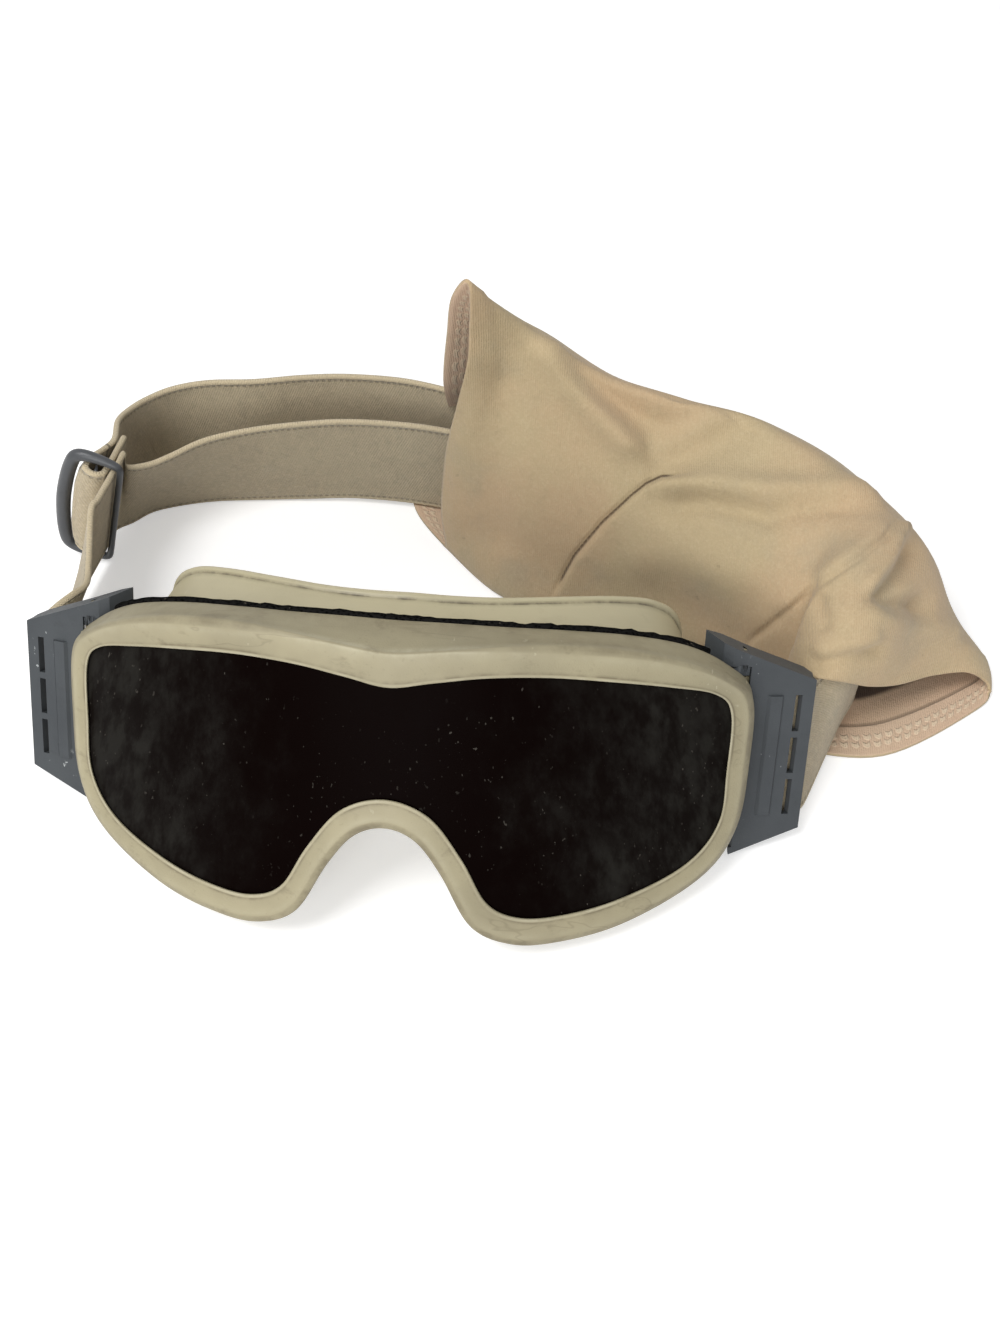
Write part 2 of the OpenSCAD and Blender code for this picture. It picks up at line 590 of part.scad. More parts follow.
module sleeve() {
    keys = [for (ring = sleeve_rings) smooth_loop([for (p = ring) moved(p.x, p.y, p.z)], 2)];
    n = len(keys) - 1;
    fine = [for (ring = smooth_line(keys, 3)) [for (p = ring) [p.x, p.y, max(p.z, 0)]]];
    inner = [for (ring = fine) [for (q = from_middle(ring, cloth_t * 1.4)) [q.x, q.y, max(q.z, cloth_t)]]];
    m = len(fine[0]);
    k = len(fine);
    wall = [for (j = [0:m - 1]) concat([for (i = [0:k - 1]) fine[i][j]], [for (i = [k - 1:-1:0]) inner[i][j]])];
    color(cloth_c) on_table() skin(wall, true);
}

front_frame();
face_flange();
lens();
face_foam();
vent_foam_top();
vent_foam_left();
vent_foam_right();
left_clip();
right_clip();
left_strap_loop();
right_strap_loop();
strap_tail();
strap_front_run();
strap_rear_run();
strap_sewn_end();
slider();
sleeve();
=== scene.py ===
# Tactical goggles on a table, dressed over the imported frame
import bpy
import bmesh
import math
from mathutils import Matrix, Vector, noise


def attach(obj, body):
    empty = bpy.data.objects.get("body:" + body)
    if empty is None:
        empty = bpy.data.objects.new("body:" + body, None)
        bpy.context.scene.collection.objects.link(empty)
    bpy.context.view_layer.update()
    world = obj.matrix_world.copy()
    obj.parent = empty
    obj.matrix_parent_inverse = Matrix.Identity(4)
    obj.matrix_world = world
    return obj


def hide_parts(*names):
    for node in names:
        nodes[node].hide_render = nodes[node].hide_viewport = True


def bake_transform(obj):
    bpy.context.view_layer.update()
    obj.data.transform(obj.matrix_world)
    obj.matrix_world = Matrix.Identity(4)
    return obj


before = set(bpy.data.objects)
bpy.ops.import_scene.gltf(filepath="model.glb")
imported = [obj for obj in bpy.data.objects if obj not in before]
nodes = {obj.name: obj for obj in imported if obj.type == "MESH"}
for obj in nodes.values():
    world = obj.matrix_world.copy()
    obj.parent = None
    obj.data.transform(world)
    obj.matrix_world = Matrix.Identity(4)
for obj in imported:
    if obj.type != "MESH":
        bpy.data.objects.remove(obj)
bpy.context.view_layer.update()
print("frame loaded", len(nodes), "nodes")

# Sizes are in millimetres from the lens centre, as measured, and turned into metres on the table at the end
place = {"midX": 19.6, "midY": 71.5, "lift": 46.18, "lean": 33.0}
sinLean = math.sin(math.radians(place["lean"]))
cosLean = math.cos(math.radians(place["lean"]))


def onTable(x, y, z):
    return Vector(((x - place["midX"]) / 1000, (y - place["midY"]) / 1000, z / 1000))


def leaned(x, y, z):  # from the upright front to the table
    return onTable(x, y * cosLean + z * sinLean, place["lift"] + z * cosLean - y * sinLean)


def mix(a, b, t):
    return a + (b - a) * t


def curveThrough(rows, count, closed=False):  # a smooth curve through rows of numbers
    last = len(rows) if closed else len(rows) - 1
    out = []
    for i in range(last):
        if closed:
            a, b, c, d = (rows[(i + k) % len(rows)] for k in (-1, 0, 1, 2))
        else:
            a, b, c, d = (rows[min(max(i + k, 0), last)] for k in (-1, 0, 1, 2))
        for j in range(count):
            t = j / count
            out.append([0.5 * (2 * q + (r - p) * t + (2 * p - 5 * q + 4 * r - s) * t * t
                               + (3 * q - p - 3 * r + s) * t ** 3) for p, q, r, s in zip(a, b, c, d)])
    return out if closed else out + [list(rows[-1])]


# Camera, at the photograph's own viewpoint; the focal length and the picture are in pixels
camera = {"spot": (43.3, -170.6, 288.88), "right": (0.995, 0.0994, 0.0), "back": (0.064, -0.6404, 0.7654),
          "focal": 1300, "wide": 1000, "high": 1333, "sensor": 36}


def makeCamera():
    data = bpy.data.cameras.new("photoCamera")
    data.sensor_width = camera["sensor"]
    data.lens = camera["focal"] * camera["sensor"] / camera["high"]
    data.clip_start = 0.01
    obj = bpy.data.objects.new("photoCamera", data)
    back = Vector(camera["back"]).normalized()
    right = Vector(camera["right"])
    right = (right - back * right.dot(back)).normalized()
    turn = Matrix((right, back.cross(right), back)).transposed().to_4x4()
    obj.matrix_world = Matrix.Translation(onTable(*camera["spot"])) @ turn
    bpy.context.scene.collection.objects.link(obj)
    bpy.context.scene.camera = obj
    return obj


photoCamera = makeCamera()
eye = onTable(*camera["spot"])
viewTurn = photoCamera.matrix_world.to_3x3().transposed()


def photoSpot(p):  # where a point lies in the photograph
    v = viewTurn @ (p - eye)
    return camera["wide"] / 2 - camera["focal"] * v.x / v.z, camera["high"] / 2 + camera["focal"] * v.y / v.z


# Mesh helpers
def finishPiece(name, bm, body, material, smooth=True, angle=None):
    mesh = bpy.data.meshes.new(name)
    bm.to_mesh(mesh)
    bm.free()
    if smooth:
        mesh.shade_smooth()
    obj = bpy.data.objects.new(name, mesh)
    bpy.context.scene.collection.objects.link(obj)
    if body:  # a blended piece is left without a body
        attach(obj, body)
    if angle:
        mesh.set_sharp_from_angle(angle=math.radians(angle))
    mesh.materials.append(material)
    return obj


def addRing(bm, points, marks=None):  # a closed loop of edges, with its marks as vertex values
    verts = [bm.verts.new(p) for p in points]
    for name, values in (marks or {}).items():
        layer = bm.verts.layers.float.get(name)
        for v, value in zip(verts, values):
            v[layer] = value
    return [bm.edges.new((verts[i], verts[(i + 1) % len(verts)])) for i in range(len(verts))]


def sweep(bm, rings, closed, marks=None):  # bridges one loop to the next
    for name in (marks[0] if marks else {}):
        bm.verts.layers.float.new(name)
    made = [addRing(bm, ring, marks[k] if marks else None) for k, ring in enumerate(rings)]
    for k in range(len(made) if closed else len(made) - 1):
        bmesh.ops.bridge_loops(bm, edges=made[k] + made[(k + 1) % len(made)])
    if not closed:
        bmesh.ops.contextual_create(bm, geom=made[0])
        bmesh.ops.contextual_create(bm, geom=made[-1])
    bmesh.ops.recalc_face_normals(bm, faces=bm.faces[:])


def addRod(bm, radius, length, at, count):
    bmesh.ops.create_cone(bm, cap_ends=True, segments=count, radius1=radius, radius2=radius, depth=length,
                          matrix=at)


def addSubdivision(obj):
    mod = obj.modifiers.new("subdivision", "SUBSURF")
    mod.levels = mod.render_levels = 1


def addBevel(obj, width, angle):
    mod = obj.modifiers.new("bevel", "BEVEL")
    mod.width = width
    mod.segments = 2
    mod.limit_method = "ANGLE"
    mod.angle_limit = math.radians(angle)


def nodeCopy(node, name, body, material):  # a merged copy of a CAD node, with its flat faces joined
    bm = bmesh.new()
    bm.from_mesh(nodes[node].data)
    bmesh.ops.remove_doubles(bm, verts=bm.verts[:], dist=0.00002)
    bmesh.ops.dissolve_limit(bm, angle_limit=math.radians(0.8), verts=bm.verts[:], edges=bm.edges[:])
    obj = finishPiece(name, bm, body, material, False)
    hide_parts(node)
    return obj


# Material helpers
def newMaterial(name):
    material = bpy.data.materials.new(name)
    material.use_nodes = True
    tree = material.node_tree
    return material, tree, tree.nodes["Principled BSDF"]


def feed(tree, socket, value):  # a socket takes another node's output, a colour or a number
    if hasattr(value, "is_output"):
        tree.links.new(value, socket)
    elif socket.type == "RGBA":
        socket.default_value = (*value, 1)
    else:
        socket.default_value = value


def setShader(tree, shader, color, rough, gloss, sheen=0, sheenRough=0.5):
    values = {"Base Color": color, "Roughness": rough, "Specular IOR Level": gloss, "Sheen Weight": sheen,
              "Sheen Roughness": sheenRough}
    for name, value in values.items():
        feed(tree, shader.inputs[name], value)


def addNode(tree, kind, settings=None, **inputs):
    made = tree.nodes.new("ShaderNode" + kind)
    for key, value in (settings or {}).items():
        setattr(made, key, value)
    for key, value in inputs.items():
        feed(tree, made.inputs[key], value)
    return made


def maths(tree, operation, *values):
    made = addNode(tree, "Math", {"operation": operation})
    for socket, value in zip(made.inputs, values):
        feed(tree, socket, value)
    return made.outputs[0]


def times(tree, first, *others):
    for value in others:
        first = maths(tree, "MULTIPLY", first, value)
    return first


def scaled(tree, value, by, plus):
    return maths(tree, "MULTIPLY_ADD", value, by, plus)


def ramp(tree, value, low, high, reverse=False):  # 0 below low, 1 above high
    made = addNode(tree, "MapRange", {"interpolation_type": "SMOOTHSTEP"}, Value=value)
    made.inputs["From Min"].default_value = low
    made.inputs["From Max"].default_value = high
    made.inputs["To Min"].default_value = 1.0 if reverse else 0.0
    made.inputs["To Max"].default_value = 0.0 if reverse else 1.0
    return made.outputs[0]


def between(tree, value, low, full, fade, none):  # 1 from full to fade, 0 below low and above none
    return times(tree, ramp(tree, value, low, full), ramp(tree, value, fade, none, True))


def paint(tree, under, color, *shares):  # lays a colour over another, by the product of its shares
    made = addNode(tree, "Mix", {"data_type": "RGBA", "blend_type": "MIX"})
    for socket, value in ((0, times(tree, *shares)), (6, under), (7, color)):
        feed(tree, made.inputs[socket], value)
    return made.outputs[2]


def tint(color, share):
    return tuple(c * share for c in color)


def objectSpot(tree):
    return addNode(tree, "TexCoord").outputs["Object"]


def markOf(tree, name):  # a mark that the mesh carries
    return addNode(tree, "Attribute", {"attribute_name": name}).outputs["Fac"]


def noiseOf(tree, spot, scale, detail, rough):
    return addNode(tree, "TexNoise", Vector=spot, Scale=scale, Detail=detail, Roughness=rough).outputs[0]


def patches(tree, spot, scale, detail, rough, low, high):  # noise cut into soft-edged patches
    return ramp(tree, noiseOf(tree, spot, scale, detail, rough), low, high)


def stretched(tree, spot, size, turn=(0, 0, 0)):
    return addNode(tree, "Mapping", Vector=spot, Scale=size, Rotation=turn).outputs[0]


def addBump(tree, shader, height, distance, strength):
    made = addNode(tree, "Bump", Height=height, Distance=distance, Strength=strength)
    tree.links.new(made.outputs[0], shader.inputs["Normal"])


# Materials; a pattern is given as scale, detail, roughness and the levels between which it comes in
wear = {"broad": (4, 0.6, 0.35, 0.7),  # each finish has its own scale for this one
        "stain": (95, 6, 0.7, 0.56, 0.72), "speck": (900, 1, 0.4, 0.715, 0.735),
        "scuff": (640, 3, 0.6, 0.66, 0.70), "rubbed": (55, 2, 0.5, 0.56, 0.66),
        "uneven": (120, 4, 0.7, 0.35, 0.65), "handled": (30, 2, 0.5, 0.5, 0.6),
        # edges is the share of the painted highlight with wear along marked edges
        "contour": (110, 3, 0.6), "line": (0.486, 0.5, 0.5, 0.514), "polish": (160, 3, 0.6), "edges": 0.3}


def moulded(name, look):  # moulded rubber or plastic with grain, handling marks and specks, with grime and painted shade where the mesh marks it, and a painted highlight with wear on its marked edges
    material, tree, shader = newMaterial(name)
    spot = objectSpot(tree)
    color = paint(tree, look["color"], look["shade"], patches(tree, spot, look["patch"], *wear["broad"]))
    runs = stretched(tree, spot, (1, 1, 2.2))
    color = paint(tree, color, look["dirtAndShade"], patches(tree, runs, *wear["stain"]), look["stain"])
    color = paint(tree, color, look["dirtAndShade"], patches(tree, spot, *wear["speck"]), look["specks"])
    strokes = stretched(tree, spot, (1, 0.14, 1), (0.3, 0.2, 0.9))
    scuffs = times(tree, patches(tree, strokes, *wear["scuff"]), patches(tree, spot, *wear["rubbed"]))
    color = paint(tree, color, look["wornAndHighlight"], scuffs, look["scuffs"])
    uneven = scaled(tree, patches(tree, spot, *wear["uneven"]), 0.8, 0.25)
    # darker where the mesh marks it: painted shade in grooves, corners and gaps, together with grime
    color = paint(tree, color, look["dirtAndShade"], markOf(tree, "grimeAndShade"), uneven, look["grimeAndShade"])
    contour = noiseOf(tree, stretched(tree, spot, (0.14, 1, 0.7)), *wear["contour"])
    lines = times(tree, between(tree, contour, *wear["line"]), patches(tree, spot, *wear["handled"]))
    color = paint(tree, color, look["dirtAndShade"], lines, look["lines"])
    # painted highlight, with wear, along the edges and crests that the mesh marks
    color = paint(tree, color, look["wornAndHighlight"], markOf(tree, "wearAndHighlight"), uneven, wear["edges"])
    polish = noiseOf(tree, spot, *wear["polish"])
    rough = scaled(tree, polish, look["roughSpread"], look["rough"])
    setShader(tree, shader, color, rough, look["gloss"])
    addBump(tree, shader, noiseOf(tree, spot, look["grain"], 2, 0.6), look["depth"], 0.5)
    return material


lensLook = {"color": (0.0024, 0.0009, 0.0007), "haze": (0.015, 0.0138, 0.012), "dust": (0.22, 0.20, 0.17),
            "cloud": (75, 6, 0.7), "sides": (0.045, 0.105), "wiped": (190, 4, 0.65, 0.36, 0.66),
            "hair": (1100, 1, 0.4, 0.74, 0.76), "someHair": (42, 2, 0.5, 0.5, 0.66), "gloss": 0.009}
lensSpecks = ((430, 0.045, 0.69, 0.4), (1000, 0.08, 0.60, 0.12))  # scale, size, rarity and strength
lensHairs = ((0.5, 0.2), (-0.9, 0.16), (1.7, 0.12))  # turn and strength


def smokeLens(name, look):  # near black and clear in the middle, hazed towards the sides
    material, tree, shader = newMaterial(name)
    spot = objectSpot(tree)
    side = addNode(tree, "SeparateXYZ", Vector=spot).outputs[0]
    fromMiddle = maths(tree, "ABSOLUTE", maths(tree, "ADD", side, place["midX"] / 1000))
    cloud = noiseOf(tree, stretched(tree, spot, (1, 1, 0.6), (0, 0.7, 0)), *look["cloud"])
    haze = ramp(tree, scaled(tree, cloud, 0.05, fromMiddle), *look["sides"])
    wiped = patches(tree, stretched(tree, spot, (1, 1, 0.12), (0, 0.35, 0)), *look["wiped"])
    cloudy = scaled(tree, cloud, 1.2, 0.1)
    streaky = scaled(tree, wiped, 1.1, 0.4)
    color = paint(tree, look["color"], look["haze"], haze, cloudy, streaky)
    for scale, size, rare, share in lensSpecks:
        dots = addNode(tree, "TexVoronoi", Vector=spot, Scale=scale, Randomness=1.0)
        near = ramp(tree, dots.outputs["Distance"], size * 0.5, size, True)
        some = patches(tree, spot, scale * 0.21, 1, 0.5, rare, rare + 0.03)
        color = paint(tree, color, look["dust"], near, some, share)
    for turn, share in lensHairs:
        hairs = patches(tree, stretched(tree, spot, (1, 1, 0.3), (0.1, turn, 0.3)), *look["hair"])
        some = patches(tree, stretched(tree, spot, (1, 1, 1), (turn, 0, 0)), *look["someHair"])
        color = paint(tree, color, look["dust"], hairs, some, share)
    rough = scaled(tree, cloud, 0.25, 0.2)
    setShader(tree, shader, color, rough, look["gloss"])
    addBump(tree, shader, noiseOf(tree, spot, 30, 2, 0.5), 0.0002, 0.12)
    return material


foamLook = {"pit": (0.0015, 0.0015, 0.0015), "skin": (0.011, 0.0105, 0.01), "dust": (0.3, 0.26, 0.2),
            "cells": 1100, "lint": (500, 2, 0.6, 0.70, 0.74)}


def openFoam(name, look):
    material, tree, shader = newMaterial(name)
    spot = objectSpot(tree)
    cells = addNode(tree, "TexVoronoi", Vector=spot, Scale=look["cells"], Randomness=1.0).outputs["Distance"]
    shade = paint(tree, look["pit"], look["skin"], ramp(tree, cells, 0.1, 0.6))
    shade = paint(tree, shade, look["dust"], patches(tree, spot, *look["lint"]), 0.35)
    setShader(tree, shader, shade, 0.95, 0)
    addBump(tree, shader, cells, 0.0003, 0.6)
    return material


# The mesh marks the run along the strap and the way across it in metres; the sewn piece starts at seamStart
strapLook = {"color": (0.50, 0.42, 0.28), "shade": (0.44, 0.36, 0.24), "dust": (0.5, 0.44, 0.33),
             "slant": 0.6, "ribs": 7800, "yarns": 8600, "stitches": 3300, "fuzz": (1000, 3, 0.7),
             "patch": (30, 3, 0.6, 0.3, 0.72), "mottle": (260, 4, 0.75, 0.47, 0.7),
             "wear": (75, 4, 0.7, 0.55, 0.75), "selvedge": (0.0163, 0.0167),
             "row": (0.0153, 0.0156, 0.0161, 0.0165), "seam": (0.0335, 0.0337, 0.0343, 0.0345),
             "seamStart": 10, "ragged": 0.0016}


def webbing(name, look):
    material, tree, shader = newMaterial(name)
    spot = objectSpot(tree)
    along, across, plain = markOf(tree, "along"), markOf(tree, "across"), look["color"]
    edge = maths(tree, "ABSOLUTE", across)
    rib = maths(tree, "ADD", along, times(tree, across, look["slant"]))
    rib = maths(tree, "SINE", times(tree, rib, look["ribs"]))
    weave = times(tree, rib, maths(tree, "SINE", times(tree, across, look["yarns"])))
    fuzz = noiseOf(tree, spot, *look["fuzz"])
    tone = paint(tree, plain, look["shade"], patches(tree, spot, *look["patch"]))
    tone = paint(tree, tone, tint(plain, 1.28), ramp(tree, fuzz, 0.42, 0.7), 0.55)
    tone = paint(tree, tone, tint(plain, 0.5), ramp(tree, weave, -0.2, 0.9, True), 0.22)
    tone = paint(tree, tone, tint(plain, 0.6), patches(tree, spot, *look["mottle"]), 0.4)
    tone = paint(tree, tone, look["dust"], patches(tree, spot, *look["wear"]), 0.3)
    selvedge = ramp(tree, edge, *look["selvedge"])  # with a row of small dark stitches beside it
    tone = paint(tree, tone, tint(plain, 1.22), selvedge, 0.55)
    dash = ramp(tree, maths(tree, "SINE", times(tree, along, look["stitches"])), -0.25, 0.25)
    dash = scaled(tree, dash, 0.75, 0.2)
    dashes = times(tree, between(tree, edge, *look["row"]), dash)
    tone = paint(tree, tone, tint(plain, 0.3), dashes, 0.55)
    ragged = scaled(tree, noiseOf(tree, spot, 260, 2, 0.5), look["ragged"], along)
    seam = between(tree, ragged, *(look["seamStart"] + far for far in look["seam"]))
    tone = paint(tree, tone, tint(plain, 0.2), seam, 0.75)
    setShader(tree, shader, tone, 0.92, 0.15, 0.25, 0.6)
    height = scaled(tree, fuzz, 1.4, times(tree, weave, 0.35))
    height = maths(tree, "SUBTRACT", height, times(tree, dashes, 1.6))
    height = maths(tree, "ADD", height, times(tree, selvedge, 0.9))
    addBump(tree, shader, height, 0.0003, 0.75)
    return material


clothMarks = {"warm": (22, 4, 0.55, 0.36, 0.66), "grey": (34, 5, 0.6, 0.5, 0.75), "fine": (1400, 3, 0.65),
              "mottle": (300, 4, 0.75, 0.5, 0.72), "speck": (420, 1, 0.4, 0.78, 0.80), "soft": (150, 4, 0.6),
              "wales": 520, "hem": (0.0098, 0.0104), "seam": (0.0098, 0.0103, 0.0106, 0.0114),
              "rows": ((0.0038, 0.0), (0.0064, 1.8)), "rowLevels": (-0.0010, -0.0005, 0.0005, 0.0010),
              "stitches": 2100, "swing": 0.0004, "shadeInside": (0.0185, 0.0205), "thread": (0.74, 0.62, 0.45),
              # dark is the colour of the painted shade inside the sleeve, crease that of the painted shade in
              # narrow creases
              "dark": (0.03, 0.014, 0.007), "crease": (0.05, 0.028, 0.014)}


def sleeveCloth(name, look, inside):
    marks, plain = clothMarks, look["color"]
    material, tree, shader = newMaterial(name)
    spot = objectSpot(tree)
    tone = paint(tree, plain, look["warm"], patches(tree, spot, *marks["warm"]))
    turned = stretched(tree, spot, (1, 1, 1), (0.4, 0.8, 0.2))
    tone = paint(tree, tone, look["grey"], patches(tree, turned, *marks["grey"]), 0.5)
    fine = noiseOf(tree, spot, *marks["fine"])
    tone = paint(tree, tone, look["light"], ramp(tree, fine, 0.4, 0.75), 0.3)
    tone = paint(tree, tone, tint(plain, 0.72), patches(tree, spot, *marks["mottle"]), 0.22)
    tone = paint(tree, tone, tint(plain, 0.4), patches(tree, spot, *marks["speck"]), 0.25)
    bands = {"wave_type": "BANDS", "bands_direction": "X"}
    wales = addNode(tree, "TexWave", bands, Vector=spot, Scale=marks["wales"], Distortion=2.0).outputs[0]
    height = maths(tree, "ADD", fine, times(tree, wales, 0.3))
    height = scaled(tree, noiseOf(tree, spot, *marks["soft"]), 1.6, height)
    if inside:  # a pale facing with a turned hem and two rows of stitches, and painted shade beyond it, where the inside of the sleeve lies in shadow
        around = markOf(tree, "around")
        edge = maths(tree, "MINIMUM", markOf(tree, "fromLeft"), markOf(tree, "fromRight"))
        hem = ramp(tree, edge, *marks["hem"], True)
        tone = paint(tree, tone, look["light"], hem, 0.45)
        tone = paint(tree, tone, tint(plain, 0.35), between(tree, edge, *marks["seam"]), 0.6)
        rows = []
        for far, offset in marks["rows"]:
            wave = maths(tree, "SINE", scaled(tree, around, marks["stitches"], offset))
            level = scaled(tree, wave, marks["swing"], edge)
            row = between(tree, level, *(far + step for step in marks["rowLevels"]))
            rows.append(times(tree, row, ramp(tree, wave, -0.8, -0.1)))
        rows = maths(tree, "MAXIMUM", *rows)
        tone = paint(tree, tone, marks["thread"], rows, 0.6)
        # painted shade over the inside, from about two centimetres in from either mouth
        tone = paint(tree, tone, marks["dark"], ramp(tree, edge, *marks["shadeInside"]), 0.93)
        height = scaled(tree, maths(tree, "ADD", rows, hem), 1.5, height)
    else:
        # painted shade in the narrow creases, from the mesh's crease mark
        tone = paint(tree, tone, marks["crease"], ramp(tree, markOf(tree, "crease"), 0.5, 0.95), 0.85)
    setShader(tree, shader, tone, 0.88, 0.2, 0.18)
    addBump(tree, shader, height, 0.00035, 0.55)
    return material


frameLook = {"color": (0.335, 0.296, 0.188), "shade": (0.27, 0.238, 0.152), "dirtAndShade": (0.13, 0.105, 0.06),
             "wornAndHighlight": (0.66, 0.62, 0.47), "patch": 26, "stain": 0.4, "specks": 0.12, "scuffs": 0.4,
             "grimeAndShade": 1.0, "lines": 0.3, "rough": 0.42, "roughSpread": 0.22, "gloss": 0.4,
             "grain": 2200, "depth": 0.00012}
sealLook = {"color": (0.52, 0.465, 0.30), "shade": (0.46, 0.41, 0.265), "dirtAndShade": (0.11, 0.09, 0.055),
            "wornAndHighlight": (0.75, 0.72, 0.56), "patch": 18, "stain": 0.08, "specks": 0.05, "scuffs": 0.15,
            "grimeAndShade": 1.0, "lines": 0.05, "rough": 0.36, "roughSpread": 0.15, "gloss": 0.45,
            "grain": 1500, "depth": 0.00006}
clipLook = {"color": (0.05, 0.056, 0.061), "shade": (0.04, 0.045, 0.05), "dirtAndShade": (0.025, 0.027, 0.03),
            "wornAndHighlight": (0.42, 0.44, 0.44), "patch": 40, "stain": 0.3, "specks": 0.2, "scuffs": 0.75,
            "grimeAndShade": 0.0, "lines": 0.1, "rough": 0.5, "roughSpread": 0.15, "gloss": 0.35,
            "grain": 2600, "depth": 0.00008}
sliderLook = {"color": (0.05, 0.053, 0.058), "shade": (0.038, 0.04, 0.045), "dirtAndShade": (0.02, 0.02, 0.02),
              "wornAndHighlight": (0.3, 0.3, 0.3), "patch": 60, "stain": 0.2, "specks": 0.1, "scuffs": 0.4,
              "grimeAndShade": 0.0, "lines": 0.0, "rough": 0.3, "roughSpread": 0.15, "gloss": 0.5,
              "grain": 1800, "depth": 0.00005}
clothLook = {"color": (0.455, 0.36, 0.215), "warm": (0.49, 0.355, 0.215), "grey": (0.35, 0.30, 0.21),
             "light": (0.62, 0.51, 0.335)}
facingLook = {"color": (0.56, 0.40, 0.27), "warm": (0.60, 0.40, 0.27), "grey": (0.48, 0.36, 0.25),
              "light": (0.68, 0.52, 0.38)}

tanRubber = moulded("tanRubber", frameLook)
creamRubber = moulded("creamRubber", sealLook)
slateNylon = moulded("slateNylon", clipLook)
darkNylon = moulded("darkNylon", sliderLook)
lensSmoke = smokeLens("lensSmoke", lensLook)
blackFoam = openFoam("blackFoam", foamLook)
strapWeave = webbing("strapWeave", strapLook)
clothOuter = sleeveCloth("clothOuter", clothLook, False)
clothInner = sleeveCloth("clothInner", facingLook, True)
print("materials made")

# Front: the bezel outline, half of it from the brow centre to the nose centre
front = {"wrapRadius": 136, "browDepth": 9, "sideDepth": 3.4, "crown": 2.0, "grip": 2.1, "lensGrip": 2.0,
         "lensThick": 2.4, "rimDepth": 36, "faceRadius": 115, "wall": 2.0, "land": 9, "foam": 4.5, "vent": 3}
# lens opening, front crease, rear edge, seal valley, seal rim (x, z each), depth share, neck offset
halfOutline = [
    (0, 19.2, 0, 27.8, 0, 32.6, 0, 25.5, 0, 32.6, 1, 4.6),
    (10, 20.9, 11, 28.8, 12, 32.6, 10, 26, 10, 32.4, 1, 4.6),
    (22, 22.6, 25, 30.3, 26, 32.1, 21, 26.6, 22, 32.4, 1, 4.2),
    (36, 22.9, 38, 30.8, 38, 31.6, 34, 27, 35, 32.8, 0.95, 4),
    (50, 21.6, 53, 29.4, 53.5, 30.2, 48, 26.5, 49, 32.7, 0.8, 3.6),
    (64, 19.4, 66.5, 25.8, 67.5, 27.2, 61, 23.8, 60, 31, 0.5, 3),
    (75.2, 16.4, 77.5, 20.8, 78.2, 21.6, 69, 18, 66.8, 26, 0.2, 1.2),
    (79.6, 10.6, 85, 13.6, 85.2, 13.9, 72, 11, 68.7, 16, 0, -1),
    (80, -4, 86, -3.6, 86, -3.6, 72.5, -2, 69, 0, 0, -1.4),
    (79.4, -17.6, 84.6, -20, 84.7, -20.2, 71.2, -14, 66.6, -12.5, 0, -0.8),
    (72, -27.2, 77, -31.4, 77.2, -31.7, 64.5, -23, 61, -18.5, 0.3, 1.6),
    (56, -34, 58, -40.8, 58, -41.2, 51, -28.5, 48, -23.5, 0.7, 2.4),
    (42, -37, 41, -44.4, 41, -44.4, 39, -31, 37, -25.5, 0.85, 2.4),
    (32, -37, 30, -44.1, 30, -44.1, 30, -30.5, 28, -25.5, 0.85, 2.4),
    (24.6, -33, 20.8, -39.2, 20.8, -39.2, 22.5, -26.5, 21, -21.5, 0.8, 2.4),
    (18.4, -22, 13.5, -26.2, 13.5, -26.2, 16.5, -17.5, 14.5, -13.5, 0.7, 2.4),
    (10.4, -11.6, 7.2, -18, 7.2, -18, 9, -9.5, 8, -7.2, 0.7, 2.4),
    (0, -7.9, 0, -15.3, 0, -15.3, 0, -6.8, 0, -5, 0.7, 2.4)]
otherHalf = [[-v if k % 2 == 0 and k < 10 else v for k, v in enumerate(row)] for row in halfOutline[-2:0:-1]]


class Station:  # one cut through the front, square to its outline
    def __init__(self, row):
        pairs = [Vector(row[k:k + 2]) for k in range(0, 10, 2)]
        self.opening, self.crease, self.edge, self.valley, self.rim = pairs
        self.out = (self.crease - self.opening).normalized()
        self.depth = mix(front["sideDepth"], front["browDepth"], row[10])
        self.neck = row[11]


stations = [Station(r) for r in curveThrough([list(r) for r in halfOutline] + otherHalf, 8, True)]


def wrapY(x, depth):
    r = front["wrapRadius"]
    return r - math.sqrt((r - depth) ** 2 - x * x)


def wrapped(p, depth):
    return leaned(p.x, wrapY(p.x, depth), p.y)


def rimY(p):
    r = front["faceRadius"]
    return front["rimDepth"] + r - math.sqrt(r * r - p.x * p.x)


def sealY(p, s, t):
    return mix(wrapY(p.x, s.depth + front["vent"]), rimY(p), t)


